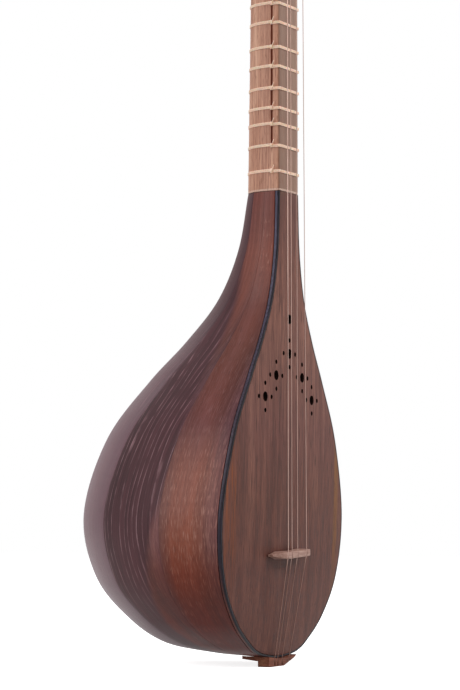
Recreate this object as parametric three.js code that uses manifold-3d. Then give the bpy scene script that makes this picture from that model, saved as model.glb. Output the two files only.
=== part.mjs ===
// Setar: a long-necked lute with a pear-shaped bowl of seven bent ribs, a thin wooden board with
// drilled sound holes, a neck with tied frets that slide, four friction pegs and four strings.
// It stands upright: +Z runs up the neck, the board faces -Y and +X is the right as seen from
// the front. The origin is on the flat underside of the tail holder. Sizes are in millimetres.

import * as THREE from "three";
import { mergeVertices } from "three/addons/utils/BufferGeometryUtils.js";
import Module from "manifold-3d";

const wasm = await Module();
wasm.setup();

// Whole instrument
const seatGap = 0.3;
const scaleLength = 650;
const bridgeAboveTail = 62.8;
const bodyTopAboveTail = 268;
const boardEndAboveTail = 4.6;
const frontBeforeTail = 7.6;

// Bowl: seven ribs between the neck end, the widest place and the tail end
const bowlWidth = 157.2;
const bowlDepth = 120.6;
const tailEndWidth = 10;
const tailEndDepth = 8;
const ribCount = 7;
const ribWall = 3;
const ribFacets = 4;
const ribRows = 30;
const ribFlatness = 0.45;
const rimRibShare = 0.8;
const neckBlockLength = 28;
const tailBlockLength = 17;
// Stations down the bowl: share of the board's length, of the width swell and of the depth swell
const bowlStations = [
  [0, 0, 0],
  [0.1223, 0.03, 0.066],
  [0.2277, 0.124, 0.19],
  [0.3179, 0.3, 0.387],
  [0.4032, 0.517, 0.612],
  [0.5326, 0.816, 0.876],
  [0.7031, 1, 1],
  [0.8325, 0.92, 0.913],
  [0.9197, 0.69, 0.728],
  [0.971, 0.425, 0.535],
  [0.9894, 0.27, 0.29],
  [0.996, 0.136, 0.08],
  [1, 0, 0],
];
const widestStation = 6;

// Board with its dark edge strips and its brace
const boardThickness = 2.4;
const boardCrown = 1.8;
const boardFall = 6.8;
const stripWidth = 1.2;
const braceBelowBodyTop = 159;
const braceThickness = 5;
const braceHeight = 7;

// Sound holes: a large one alone at the top, then clusters of a large one with four small ones
const largeHoleDiameter = 5.1;
const smallHoleDiameter = 1.9;
const smallHoleOffset = 7.6;
const topHoleBelowBodyTop = 72.3;
const clusterPlaces = [
  [0, 91.9],
  [-17, 104.8],
  [17, 104.8],
  [-30.5, 117.2],
  [30.5, 117.2],
];

// Neck: D-shaped, tapering to the nut, with a groove along its left side for the fret knots
const neckWidthAtBody = 25.2;
const neckWidthAtNut = 23.4;
const neckDepthAtBody = 25;
const neckDepthAtNut = 17.6;
const neckEdgeRadius = 0.9;
const grooveBehindFront = 4.7;
const grooveWidth = 1;
const grooveDepth = 0.8;
const grooveEndAboveBody = 24;
const tenonLength = 16;
const tenonWidth = 9;
const tenonDepth = 10;

// Nut and bridge
const nutThickness = 3;
const nutHeight = 3.1;
const nutSink = 1.5;
const bridgeLength = 48;
const bridgeHeight = 7.6;
const bridgeFootThickness = 4.4;
const bridgeTopThickness = 3.8;
const bridgeTipHeight = 3.8;
const bridgeTipThickness = 2;
const bridgeCrestLength = 28.4;
const bridgeArchWidth = 15;
const bridgeArchHeight = 1.8;
const stringNotchWidth = 1.3;
const stringNotchDepth = 0.7;

// Head and pegs
const headLength = 118;
const headWidthAtTop = 21.6;
const headDepthAtTop = 15.5;
const headLean = 4;
const headEdgeRadius = 1.5;
const headCrownHeight = 3;
const stringBevel = 5;
const pegShaftDiameter = 6.6;
const pegStandoff = 11;
const pegKnobDiameter = 16;
const pegKnobLength = 21;
const pegEndOverhang = 3;
const sidePegDepth = 9;
const sidePegHeights = [28, 70];
const frontPegHeights = [49, 91];

// Strings from left to right: diameter, place on the bridge and place on the nut
const strings = [
  { diameter: 0.5, atBridge: -13.6, atNut: -7.8 },
  { diameter: 0.4, atBridge: -8.7, atNut: -4.5 },
  { diameter: 0.4, atBridge: -1.3, atNut: 3.4 },
  { diameter: 0.4, atBridge: 10.5, atNut: 9.4 },
];
const stringSides = 6;
const windingTurns = 3;
const windingGap = 0.45;
const windingStandoff = 2.2;

// Tail holder
const tailHolderWidth = 36;
const tailHolderFront = 4;
const tailHolderDepth = 7;
const tailHolderHeight = 8.5;
const tailCornerRadius = 1;
const tailFlatRight = 1;
const tailBendRight = 12.5;
const tailBendRise = 3.3;
const tailEndRise = 6.8;
const tailLipRise = 1.5;
const stringEndBelowLip = 2;
const flangeDepth = 16.8;
const flangeUnderside = 3.2;
const flangeRise = 1.1;
const flangeTop = 7.3;
const tailNotchSpread = 0.78;

// Frets: places as the pitch above the open string, in cents
const fretPitches = [
  90, 145, 204, 294, 345, 408, 498, 560, 640, 702, 792, 845, 906, 996, 1047, 1100, 1200, 1267,
  1329, 1412, 1480, 1560, 1636, 1700, 1790, 1902,
];
const gutDiameter = 0.4;
const gutTurns = 3;
const gutGap = 0.42;
const gutSides = 4;
const knotDiameter = 1.8;
const fretClearOfBody = 3;
const knotTailLength = 2.6;

// Places worked out from the sizes above
const boardLength = bodyTopAboveTail - boardEndAboveTail;
const nutAboveTail = bridgeAboveTail + scaleLength;
const headBottom = nutAboveTail + nutThickness / 2 + seatGap;
const rimBehindFront = boardThickness + seatGap;
const notchFloor = stringNotchDepth - seatGap;

const lerp = THREE.MathUtils.lerp;
const at = (x, y, z) => new THREE.Vector3(x, y, z);

const shares = (steps, from = 0, to = 1) =>
  Array.from({ length: steps + 1 }, (_, i) => lerp(from, to, i / steps));
const bowlRows = shares(ribRows);

// Finishes
const wood = {
  bowl: finish("#5b3436", 0.28),
  inside: finish("#b08a62", 0.8),
  board: finish("#6a4a42", 0.45),
  strip: finish("#2b2830", 0.35),
  neck: finish("#a6806f", 0.45),
  head: finish("#8d6454", 0.45),
  bridge: finish("#b08276", 0.5),
  tail: finish("#6f4a38", 0.45),
  peg: finish("#3a2a28", 0.35),
};
const bone = finish("#e6dcc6", 0.5);
const gut = finish("#dcb99a", 0.55);
const steel = finish("#c9bdb8", 0.3, 0.9);

function finish(color, roughness, metalness = 0) {
  return new THREE.MeshStandardMaterial({ color, roughness, metalness });
}

// The cap of a ring as index triples that turn the same way as the ring.
function capTriangles(ring) {
  const normal = at(0, 0, 0);
  ring.forEach((p, i) => normal.add(p.clone().cross(ring[(i + 1) % ring.length])));
  normal.normalize();
  const across = Math.abs(normal.z) < 0.9 ? at(0, 0, 1) : at(1, 0, 0);
  across.cross(normal).normalize();
  const up = normal.clone().cross(across);
  const flat = ring.map((p) => new THREE.Vector2(p.dot(across), p.dot(up)));
  return THREE.ShapeUtils.triangulateShape(flat, []).map(([a, b, c]) => {
    const turn = flat[b].clone().sub(flat[a]).cross(flat[c].clone().sub(flat[a]));
    return turn > 0 ? [a, b, c] : [a, c, b];
  });
}

function enclosedVolume(positions, index) {
  const corner = (i) => at(...positions.slice(3 * i, 3 * i + 3));
  let sum = 0;
  for (let i = 0; i < index.length; i += 3) {
    sum += corner(index[i]).dot(corner(index[i + 1]).cross(corner(index[i + 2])));
  }
  return sum / 6;
}

// A closed body skinned through rings of equally many points, with a cap on each end ring.
function loft(rings) {
  const count = rings[0].length;
  const last = (rings.length - 1) * count;
  const positions = rings.flat().flatMap((p) => [p.x, p.y, p.z]);
  const index = [];
  for (let a = 0; a < last; a += count) {
    for (let j = 0; j < count; j++) {
      const k = (j + 1) % count;
      index.push(a + j, a + k, a + count + k, a + j, a + count + k, a + count + j);
    }
  }
  capTriangles(rings[0]).forEach(([a, b, c]) => index.push(a, c, b));
  capTriangles(rings.at(-1)).forEach(([a, b, c]) => index.push(last + a, last + b, last + c));
  if (enclosedVolume(positions, index) < 0) index.reverse();
  const geometry = new THREE.BufferGeometry();
  geometry.setAttribute("position", new THREE.Float32BufferAttribute(positions, 3));
  geometry.setIndex(index);
  return geometry;
}

// A round bar through points, with mitred rings that keep their turn from one to the next.
function tube(points, radius, sides) {
  const direction = (i, j) => points[j].clone().sub(points[i]).normalize();
  let up = direction(0, 1).cross(at(0.31, 0.17, 0.93)).normalize();
  const rings = points.map((point, i) => {
    const before = direction(Math.max(i - 1, 0), Math.max(i, 1));
    const after = direction(Math.min(i, points.length - 2), Math.min(i + 1, points.length - 1));
    const along = before.clone().add(after).normalize();
    const widen = 1 / Math.max(along.dot(after), 0.5);
    up = up.sub(along.clone().multiplyScalar(up.dot(along))).normalize();
    const side = along.clone().cross(up);
    const bend = after.clone().sub(before);
    if (bend.length() > 1e-6) bend.normalize();
    return Array.from({ length: sides }, (_, j) => {
      const angle = (2 * Math.PI * j) / sides;
      const spoke = up.clone().multiplyScalar(Math.cos(angle) * radius);
      spoke.addScaledVector(side, Math.sin(angle) * radius);
      spoke.addScaledVector(bend, spoke.dot(bend) * (widen - 1));
      return spoke.add(point);
    });
  });
  return loft(rings);
}

function solidOf(geometry) {
  const bare = geometry.clone();
  bare.deleteAttribute("normal");
  bare.deleteAttribute("uv");
  const merged = mergeVertices(bare, 1e-4);
  return new wasm.Manifold(
    new wasm.Mesh({
      numProp: 3,
      vertProperties: new Float32Array(merged.attributes.position.array),
      triVerts: new Uint32Array(merged.index.array),
    }),
  );
}

function geometryOf(solid) {
  const mesh = solid.getMesh();
  const geometry = new THREE.BufferGeometry();
  geometry.setAttribute("position", new THREE.Float32BufferAttribute(mesh.vertProperties, 3));
  geometry.setIndex(new THREE.BufferAttribute(mesh.triVerts, 1));
  return geometry;
}

function join(first, ...others) {
  return geometryOf(others.reduce((sum, other) => sum.add(solidOf(other)), solidOf(first)));
}

function cut(first, ...tools) {
  return geometryOf(tools.reduce((rest, tool) => rest.subtract(solidOf(tool)), solidOf(first)));
}

function box(x0, x1, y0, y1, z0, z1) {
  const geometry = new THREE.BoxGeometry(x1 - x0, y1 - y0, z1 - z0);
  return geometry.translate((x0 + x1) / 2, (y0 + y1) / 2, (z0 + z1) / 2);
}

function cylinderAlongY(x, z, y0, y1, radius, sides) {
  const geometry = new THREE.CylinderGeometry(radius, radius, y1 - y0, sides);
  return geometry.translate(x, (y0 + y1) / 2, z);
}

const root = new THREE.Group();

function addPiece(name, geometry, material, parent = root) {
  const mesh = new THREE.Mesh(geometry, material);
  mesh.name = name;
  parent.add(mesh);
  return mesh;
}

// Bowl: one smooth curve holds half width, depth and distance below the body's top.
const bowlCurve = new THREE.CatmullRomCurve3(
  bowlStations.map(([down, wide, deep], i) => {
    const beforeWidest = i <= widestStation;
    const endWidth = beforeWidest ? neckWidthAtBody : tailEndWidth;
    const endDepth = beforeWidest ? neckDepthAtBody - rimBehindFront : tailEndDepth;
    return at(lerp(endWidth, bowlWidth, wide) / 2, lerp(endDepth, bowlDepth, deep), down * boardLength);
  }),
);

function stationAt(u) {
  const { x, y, z } = bowlCurve.getPoint(u);
  return { halfWidth: x, depth: y, down: z };
}

// The curve's parameter at a distance below the body's top.
function parameterAt(down) {
  let low = 0;
  let high = 1;
  for (let i = 0; i < 40; i++) {
    const middle = (low + high) / 2;
    if (stationAt(middle).down < down) low = middle;
    else high = middle;
  }
  return low;
}

// How far the board's plane has fallen back at a distance below the body's top.
function fallAt(down) {
  return boardFall * Math.max(down / boardLength, 0) ** 2.5;
}

function bowlPoint(u, angle) {
  const { halfWidth, depth, down } = stationAt(u);
  const back = fallAt(down) + rimBehindFront + depth * Math.sin(angle);
  return at(-halfWidth * Math.cos(angle), back, bodyTopAboveTail - down);
}

function bowlNormal(u, angle) {
  const step = 1e-3;
  const along = bowlPoint(Math.min(u + step, 1), angle).sub(bowlPoint(Math.max(u - step, 0), angle));
  const around = bowlPoint(u, angle + step).sub(bowlPoint(u, angle - step));
  return around.cross(along).normalize();
}

// Angles round the bowl's section where its ribs meet. Along the section the ribs are equally
// wide, but for the two at the rim, which are trimmed narrower.
function seamAngles(u) {
  const { halfWidth, depth } = stationAt(u);
  const angles = shares(90, 0, Math.PI);
  const places = angles.map((angle) => at(halfWidth * Math.cos(angle), depth * Math.sin(angle), 0));
  const lengths = [0];
  places.slice(1).forEach((place, i) => lengths.push(lengths[i] + place.distanceTo(places[i])));
  const ribWidth = lengths.at(-1) / (ribCount - 2 + 2 * rimRibShare);
  const inner = shares(ribCount - 2, 0, ribCount - 2).map((k) => {
    const length = ribWidth * (rimRibShare + k);
    const next = lengths.findIndex((reached) => reached >= length);
    const part = (length - lengths[next - 1]) / (lengths[next] - lengths[next - 1]);
    return lerp(angles[next - 1], angles[next], part);
  });
  return [0, ...inner, Math.PI];
}

// The bowl's section from the left rim round the back to the right rim, moved inwards. Each rib
// is bent from a flat strip, so it is flatter than the bowl's curve between its seams.
function bowlSection(u, inset) {
  const seams = seamAngles(u);
  return shares(ribCount * ribFacets).map((_, i) => {
    const k = Math.min(Math.floor(i / ribFacets), ribCount - 1);
    const part = i / ribFacets - k;
    const angle = lerp(seams[k], seams[k + 1], part);
    const chord = bowlPoint(u, seams[k]).lerp(bowlPoint(u, seams[k + 1]), part);
    const point = bowlPoint(u, angle).lerp(chord, ribFlatness);
    return point.addScaledVector(bowlNormal(u, angle), -inset);
  });
}

function rowsBetween(from, to) {
  return [from, ...bowlRows.filter((u) => u > from && u < to), to];
}

function ribGeometry(k) {
  const first = k * ribFacets;
  const part = (section) => section.slice(first, first + ribFacets + 1);
  const rings = bowlRows.map((u) => {
    const outer = part(bowlSection(u, 0));
    const inner = part(bowlSection(u, ribWall));
    const inward = outer.at(-1).clone().sub(outer[0]).setLength(seatGap / 2);
    [outer, inner].forEach((points) => {
      points[0].add(inward);
      points.at(-1).sub(inward);
    });
    return [...outer, ...inner.reverse()];
  });
  return loft(rings);
}

// A body bounded by the bowl's surface moved inwards, closed off level with the rim.
function bowlFilling(fromDown, toDown, inset) {
  const rows = rowsBetween(parameterAt(fromDown), parameterAt(toDown));
  return loft(rows.map((u) => bowlSection(u, inset)));
}

// The room that the bowl, strips and board take at the tail, open towards the front.
function tailEnvelope() {
  const rows = rowsBetween(parameterAt(boardLength - tailBlockLength), 1);
  const rings = rows.map((u) => {
    const arc = bowlSection(u, -seatGap);
    const front = (point) => at(point.x, -bridgeHeight, point.z);
    return [front(arc[0]), ...arc, front(arc.at(-1))];
  });
  return loft(rings);
}

// The outline of the rim as seen from the front, moved inwards: half width and distance down.
function rimOutline(u, inset) {
  const step = 1e-3;
  const here = stationAt(u);
  const before = stationAt(Math.max(u - step, 0));
  const after = stationAt(Math.min(u + step, 1));
  const along = new THREE.Vector2(after.halfWidth - before.halfWidth, after.down - before.down);
  along.normalize();
  return {
    halfWidth: here.halfWidth - along.y * inset,
    down: Math.max(here.down + along.x * inset, 0),
  };
}

function stripGeometry(side) {
  const corner = ({ halfWidth, down }, behind) =>
    at(side * halfWidth, fallAt(down) + behind, bodyTopAboveTail - down);
  const section = ([outer, inner]) => [
    corner(outer, 0),
    corner(outer, boardThickness),
    corner(inner, boardThickness),
    corner(inner, 0),
  ];
  const stations = bowlRows.map((u) => [rimOutline(u, 0), rimOutline(u, stripWidth)]);
  const middle = seatGap / 2;
  const [outer, inner] = stations.at(-1);
  stations.push([{ halfWidth: middle, down: outer.down }, { halfWidth: middle, down: inner.down }]);
  return loft(stations.map(section));
}

// How far the board's face stands in front of its own edge.
function crownAt(x, down) {
  const { halfWidth } = stationAt(parameterAt(down));
  const swell = Math.min((2 * halfWidth - tailEndWidth) / (bowlWidth - tailEndWidth), 1);
  return boardCrown * swell * Math.max(1 - (x / halfWidth) ** 2, 0);
}

function boardFront(x, down) {
  return fallAt(down) - crownAt(x, down);
}

function boardGeometry(columns = 8) {
  const inset = stripWidth + seatGap;
  const rings = bowlRows.map((u) => {
    const { halfWidth, down } = rimOutline(u, inset);
    const face = shares(columns, -halfWidth, halfWidth).map((x) =>
      at(x, boardFront(x, down), bodyTopAboveTail - down),
    );
    const back = face.map((point) => point.clone().add(at(0, boardThickness, 0)));
    return [...face, ...back.reverse()];
  });
  return cut(loft(rings), ...soundHoles());
}

function soundHoles() {
  const drill = (x, down, diameter, sides) => {
    const front = boardFront(x, down);
    const height = bodyTopAboveTail - down;
    return cylinderAlongY(x, height, front - 2, front + boardThickness + 2, diameter / 2, sides);
  };
  const clusters = clusterPlaces.flatMap(([x, down]) => [
    drill(x, down, largeHoleDiameter, 12),
    drill(x - smallHoleOffset, down, smallHoleDiameter, 6),
    drill(x + smallHoleOffset, down, smallHoleDiameter, 6),
    drill(x, down - smallHoleOffset, smallHoleDiameter, 6),
    drill(x, down + smallHoleOffset, smallHoleDiameter, 6),
  ]);
  return [drill(0, topHoleBelowBodyTop, largeHoleDiameter, 12), ...clusters];
}

// A bar glued across the back of the board, thinner towards its ends.
function braceGeometry(columns = 10) {
  const middle = braceBelowBodyTop;
  const wall = bowlSection(parameterAt(middle - braceThickness / 2), ribWall + seatGap)[1];
  const reach = -wall.x;
  const rings = [middle - braceThickness / 2, middle + braceThickness / 2].map((down) => {
    const top = shares(columns, -reach, reach).map((x) =>
      at(x, boardFront(x, down) + boardThickness + seatGap, bodyTopAboveTail - down),
    );
    const bottom = top.map(({ x, z }) => {
      const height = braceHeight * Math.cos((x / reach) * 1.2);
      return at(x, boardFront(x, down) + boardThickness + seatGap + height, z);
    });
    return [...top, ...bottom.reverse()];
  });
  return loft(rings);
}

function neckShareAt(height) {
  return (height - bodyTopAboveTail) / (nutAboveTail - bodyTopAboveTail);
}

function neckHalfWidth(height) {
  return lerp(neckWidthAtBody, neckWidthAtNut, neckShareAt(height)) / 2;
}

function neckDepth(height) {
  return lerp(neckDepthAtBody, neckDepthAtNut, neckShareAt(height));
}

// The D-shaped section of the neck, moved outwards: flat front, straight shoulders, round back.
function neckSection(height, outset = 0, arcSteps = 12) {
  const half = neckHalfWidth(height) + outset;
  const depth = neckDepth(height) + outset;
  const edge = neckEdgeRadius + outset;
  const shoulder = rimBehindFront;
  const arc = shares(arcSteps, 0, Math.PI).map((angle) =>
    at(half * Math.cos(angle), shoulder + (depth - shoulder) * Math.sin(angle), height),
  );
  const corner = edge * (1 - Math.SQRT1_2);
  return [
    at(edge - half, -outset, height),
    at(half - edge, -outset, height),
    at(half - corner, corner - outset, height),
    at(half, edge - outset, height),
    ...arc,
    at(-half, edge - outset, height),
    at(corner - half, corner - outset, height),
  ];
}

function neckGeometry() {
  const bottom = bodyTopAboveTail + seatGap;
  const top = nutAboveTail + nutThickness / 2;
  const blank = loft([neckSection(bottom), neckSection(top)]);
  const tenonTop = bottom + 1;
  const tenonMiddle = neckDepthAtBody / 2;
  const tenon = box(
    -tenonWidth / 2,
    tenonWidth / 2,
    tenonMiddle - tenonDepth / 2,
    tenonMiddle + tenonDepth / 2,
    bodyTopAboveTail - tenonLength,
    tenonTop,
  );
  const nutSeat = box(
    -neckWidthAtNut,
    neckWidthAtNut,
    -nutHeight,
    nutSink,
    nutAboveTail - nutThickness / 2 - seatGap,
    top + 1,
  );
  const grooveAt = (height) => {
    const side = -neckHalfWidth(height);
    const reach = [side - 1, side + grooveDepth];
    const edges = [grooveBehindFront - grooveWidth / 2, grooveBehindFront + grooveWidth / 2];
    return [
      at(reach[0], edges[0], height),
      at(reach[1], edges[0], height),
      at(reach[1], edges[1], height),
      at(reach[0], edges[1], height),
    ];
  };
  const groove = loft([grooveAt(bodyTopAboveTail + grooveEndAboveBody), grooveAt(top + 1)]);
  return cut(join(blank, tenon), nutSeat, groove);
}

function neckBlockGeometry() {
  const block = bowlFilling(seatGap, neckBlockLength, ribWall + seatGap);
  const middle = neckDepthAtBody / 2;
  const halfWidth = tenonWidth / 2 + seatGap;
  const halfDepth = tenonDepth / 2 + seatGap;
  const floor = bodyTopAboveTail - tenonLength - seatGap;
  const top = bodyTopAboveTail + tenonLength;
  const mortise = box(-halfWidth, halfWidth, middle - halfDepth, middle + halfDepth, floor, top);
  return cut(block, mortise);
}

function tailBlockGeometry() {
  return bowlFilling(boardLength - tailBlockLength, boardLength, ribWall + seatGap);
}

// A narrow cut for a string, open towards the front.
function stringNotch(x, floor, z0, z1) {
  const half = stringNotchWidth / 2;
  return box(x - half, x + half, floor - bridgeHeight, floor, z0, z1);
}

function nutGeometry() {
  const half = neckWidthAtNut / 2 - seatGap;
  const z0 = nutAboveTail - nutThickness / 2;
  const z1 = nutAboveTail + nutThickness / 2;
  const blank = box(-half, half, -nutHeight, nutSink - seatGap, z0, z1);
  const floor = stringNotchDepth - nutHeight;
  return cut(blank, ...strings.map(({ atNut }) => stringNotch(atNut, floor, z0 - 1, z1 + 1)));
}

// Where a string leaves the nut and crosses the bridge, measured to the string's middle.
function nutContact({ atNut, diameter }) {
  return at(atNut, notchFloor - nutHeight - diameter / 2, nutAboveTail + nutThickness / 2);
}

function bridgeBase() {
  return boardFront(0, bodyTopAboveTail - bridgeAboveTail) - seatGap;
}

function bridgeContact({ atBridge, diameter }) {
  return at(atBridge, bridgeBase() - bridgeHeight + notchFloor - diameter / 2, bridgeAboveTail);
}

// The bridge: thin wings that rise to a crest, an arch under its middle and a notch per string.
function bridgeGeometry(steps = 20) {
  const down = bodyTopAboveTail - bridgeAboveTail;
  const half = bridgeLength / 2;
  const crestHalf = bridgeCrestLength / 2;
  const rings = shares(steps, -half, half).map((x) => {
    const rise = THREE.MathUtils.smoothstep(half - Math.abs(x), 0, half - crestHalf);
    const height = lerp(bridgeTipHeight, bridgeHeight, rise);
    const foot = lerp(bridgeTipThickness, bridgeFootThickness, rise) / 2;
    const crest = lerp(bridgeTipThickness, bridgeTopThickness, rise) / 2;
    const base = boardFront(x, down) - seatGap;
    const top = Math.min(bridgeBase() - height, base - bridgeTipHeight);
    return [
      at(x, base, bridgeAboveTail - foot),
      at(x, top, bridgeAboveTail - crest),
      at(x, top, bridgeAboveTail + crest),
      at(x, base, bridgeAboveTail + foot),
    ];
  });
  const arch = new THREE.CylinderGeometry(1, 1, bridgeFootThickness + 2, 16);
  arch.rotateX(Math.PI / 2).scale(bridgeArchWidth / 2, bridgeArchHeight, 1);
  arch.translate(0, bridgeBase() + seatGap, bridgeAboveTail);
  const floor = bridgeBase() - bridgeHeight + stringNotchDepth;
  const z0 = bridgeAboveTail - bridgeFootThickness;
  const z1 = bridgeAboveTail + bridgeFootThickness;
  return cut(loft(rings), arch, ...strings.map(({ atBridge }) => stringNotch(atBridge, floor, z0, z1)));
}

// The head's front face leans back from the nut, and its left edge is bevelled for the strings.
function headFront(above) {
  return (headLean * above) / headLength;
}

function headHalfWidth(above) {
  return lerp(neckWidthAtNut, headWidthAtTop, above / headLength) / 2;
}

function headDepth(above) {
  return lerp(neckDepthAtNut, headDepthAtTop, above / headLength);
}

function headSection(above, shrink = 0) {
  const half = headHalfWidth(above) - shrink;
  const front = headFront(above) + shrink;
  const back = headDepth(above) - shrink;
  const height = nutAboveTail + above;
  const edge = headEdgeRadius;
  const round = (x, y, turn) =>
    shares(3, turn, turn + Math.PI / 2).map((angle) =>
      at(x + edge * Math.cos(angle), y + edge * Math.sin(angle), height),
    );
  return [
    ...round(half - edge, back - edge, 0),
    ...round(edge - half, back - edge, Math.PI / 2),
    ...round(edge - half, front + edge, Math.PI),
    ...round(half - edge, front + edge, -Math.PI / 2),
  ];
}

function headGeometry() {
  const bottom = headBottom - nutAboveTail;
  const rings = [
    headSection(bottom),
    headSection(headLength - headCrownHeight),
    headSection(headLength - headCrownHeight / 3, headCrownHeight / 4),
    headSection(headLength, (headCrownHeight * 2) / 3),
  ];
  const bevelFrom = nutThickness * 2;
  const bevelAt = (above) => {
    const side = -headHalfWidth(above);
    const front = headFront(above);
    const height = nutAboveTail + above;
    return [
      at(side - stringBevel, front - stringBevel, height),
      at(side + stringBevel * 2, front - stringBevel, height),
      at(side - stringBevel, front + stringBevel * 2, height),
    ];
  };
  const bevel = loft([bevelAt(bevelFrom), bevelAt(headLength + 1)]);
  const bores = pegPlaces().map(({ frame }) => {
    const radius = pegShaftDiameter / 2 + seatGap;
    const bore = new THREE.CylinderGeometry(radius, radius, 4 * headDepthAtTop, 20);
    return bore.applyMatrix4(frame);
  });
  return cut(loft(rings), bevel, ...bores);
}

// Each peg's own frame: its Y axis runs from the head's surface out to the knob. Strings one
// and two go to the pegs in the left side, three and four to the pegs in the front.
function pegPlaces() {
  const side = sidePegHeights.map((above) => {
    const place = at(-headHalfWidth(above), headFront(above) + sidePegDepth, nutAboveTail + above);
    const turn = new THREE.Matrix4().makeRotationZ(Math.PI / 2);
    return { place, turn, through: 2 * headHalfWidth(above), near: at(0, -1, 0) };
  });
  const front = frontPegHeights.map((above) => {
    const place = at(0, headFront(above), nutAboveTail + above);
    const turn = new THREE.Matrix4().makeRotationX(Math.PI);
    return { place, turn, through: headDepth(above) - headFront(above), near: at(1, 0, 0) };
  });
  return [...side, ...front].map((peg) => ({
    ...peg,
    frame: new THREE.Matrix4().makeTranslation(peg.place).multiply(peg.turn),
  }));
}

// A turned peg: plain shaft through the head, a neck, a ring and a bulb with a small button.
function pegGeometry(through) {
  const shaft = pegShaftDiameter / 2;
  const knob = pegKnobDiameter / 2;
  const end = -through - pegEndOverhang;
  const profile = [
    [0, end],
    [shaft * 0.8, end],
    [shaft, end + 0.8],
    [shaft, pegStandoff - 1],
    [shaft * 1.45, pegStandoff],
    [shaft * 1.1, pegStandoff + 1.6],
    [knob * 0.82, pegStandoff + pegKnobLength * 0.38],
    [knob, pegStandoff + pegKnobLength * 0.6],
    [knob * 0.72, pegStandoff + pegKnobLength * 0.82],
    [knob * 0.22, pegStandoff + pegKnobLength * 0.9],
    [knob * 0.26, pegStandoff + pegKnobLength * 0.96],
    [0, pegStandoff + pegKnobLength],
  ];
  return new THREE.LatheGeometry(profile.map(([x, y]) => new THREE.Vector2(x, y)), 16);
}

// Where a string coming from a point meets the winding's circle, in the peg's own frame.
function windingContact(string, peg) {
  const radius = pegShaftDiameter / 2 + seatGap + string.diameter / 2;
  const toPeg = peg.frame.clone().invert();
  const from = nutContact(string).applyMatrix4(toPeg);
  const near = peg.near.clone().transformDirection(toPeg);
  const distance = Math.hypot(from.x, from.z);
  const spread = Math.acos(radius / distance);
  const bearing = Math.atan2(from.z, from.x);
  const candidates = [bearing - spread, bearing + spread].map((angle) => ({
    angle,
    place: at(radius * Math.cos(angle), windingStandoff, radius * Math.sin(angle)),
  }));
  candidates.sort((a, b) => b.place.dot(near) - a.place.dot(near));
  const { angle, place } = candidates[0];
  const travel = place.clone().sub(from);
  const turning = Math.sign(Math.cos(angle) * travel.z - Math.sin(angle) * travel.x);
  return { radius, angle, place, from, turning };
}

// The winding: an unbroken tube round the peg whose ends run straight for one diameter.
function windingPath(string, peg, steps = 10) {
  const { radius, angle, turning } = windingContact(string, peg);
  const pitch = string.diameter + windingGap;
  const place = (i) => {
    const turn = angle + (turning * 2 * Math.PI * i) / steps;
    return at(radius * Math.cos(turn), windingStandoff + (pitch * i) / steps, radius * Math.sin(turn));
  };
  const count = windingTurns * steps;
  const points = Array.from({ length: count + 1 }, (_, i) => place(i));
  const lead = (from, to) => to.clone().sub(from).setLength(string.diameter).add(to);
  return [lead(points[1], points[0]), ...points, lead(points[count - 1], points[count])];
}

// A string from the tail holder over the bridge and the nut to just short of its winding.
function stringPath(string, peg) {
  const { place, from, radius } = windingContact(string, peg);
  const swept = radius + string.diameter + seatGap;
  const short = Math.sqrt(swept ** 2 - radius ** 2);
  const end = from.clone().sub(place).setLength(short).add(place).applyMatrix4(peg.frame);
  return [...tailRoute(string), bridgeContact(string), nutContact(string), end];
}

function tailRoute({ atBridge, diameter }) {
  const x = tailPlace(atBridge);
  const y = tailHolderFront + notchFloor - diameter / 2;
  const lip = tailLip(x);
  return [at(x, y, lip - stringEndBelowLip), at(x, y, lip)];
}

function tailPlace(atBridge) {
  return atBridge * tailNotchSpread;
}

// Height of the holder's front lip, just under the curved end of the board.
function tailLip(x) {
  const overEnd = Math.abs(x) / (tailHolderWidth / 2);
  return boardEndAboveTail - seatGap + overEnd ** 2 * tailLipRise;
}

// The tail holder: a block under the end of the board and a flange under the end of the bowl.
// Its underside is flat to the left and swept up to the right.
function tailHolderGeometry() {
  const half = tailHolderWidth / 2;
  const sweepUp = (shape) => {
    shape.lineTo(tailFlatRight, 0);
    shape.lineTo(tailBendRight, tailBendRise);
    shape.quadraticCurveTo(half, lerp(tailBendRise, tailEndRise, 0.4), half, tailEndRise);
  };
  const outline = new THREE.Shape();
  outline.moveTo(tailCornerRadius - half, 0);
  sweepUp(outline);
  outline.lineTo(half, tailHolderHeight);
  outline.lineTo(-half, tailHolderHeight);
  outline.lineTo(-half, tailCornerRadius);
  outline.quadraticCurveTo(-half, 0, tailCornerRadius - half, 0);
  const settings = { depth: tailHolderDepth, bevelEnabled: false, curveSegments: 8 };
  const block = new THREE.ExtrudeGeometry(outline, settings);
  const blockBack = tailHolderFront + tailHolderDepth;
  block.rotateX(Math.PI / 2).translate(0, blockBack, 0);
  const back = tailHolderFront + flangeDepth;
  const flange = loft(
    [-half, half].map((x) => [
      at(x, blockBack - 1, flangeUnderside),
      at(x, blockBack, flangeUnderside),
      at(x, back, flangeUnderside + flangeRise),
      at(x, back, flangeTop),
      at(x, blockBack - 1, flangeTop),
    ]),
  );
  const sweep = new THREE.Shape();
  sweep.moveTo(tailFlatRight, -1);
  sweepUp(sweep);
  sweep.lineTo(half + 1, tailEndRise);
  sweep.lineTo(half + 1, -1);
  const under = new THREE.ExtrudeGeometry(sweep, { ...settings, depth: flangeDepth + 2 });
  under.rotateX(Math.PI / 2).translate(0, back + 1, 0);
  const notches = strings.map(({ atBridge }) =>
    stringNotch(tailPlace(atBridge), tailHolderFront + stringNotchDepth, -1, tailHolderHeight + 1),
  );
  return cut(join(block, flange), under, tailEnvelope(), ...notches);
}

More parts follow.
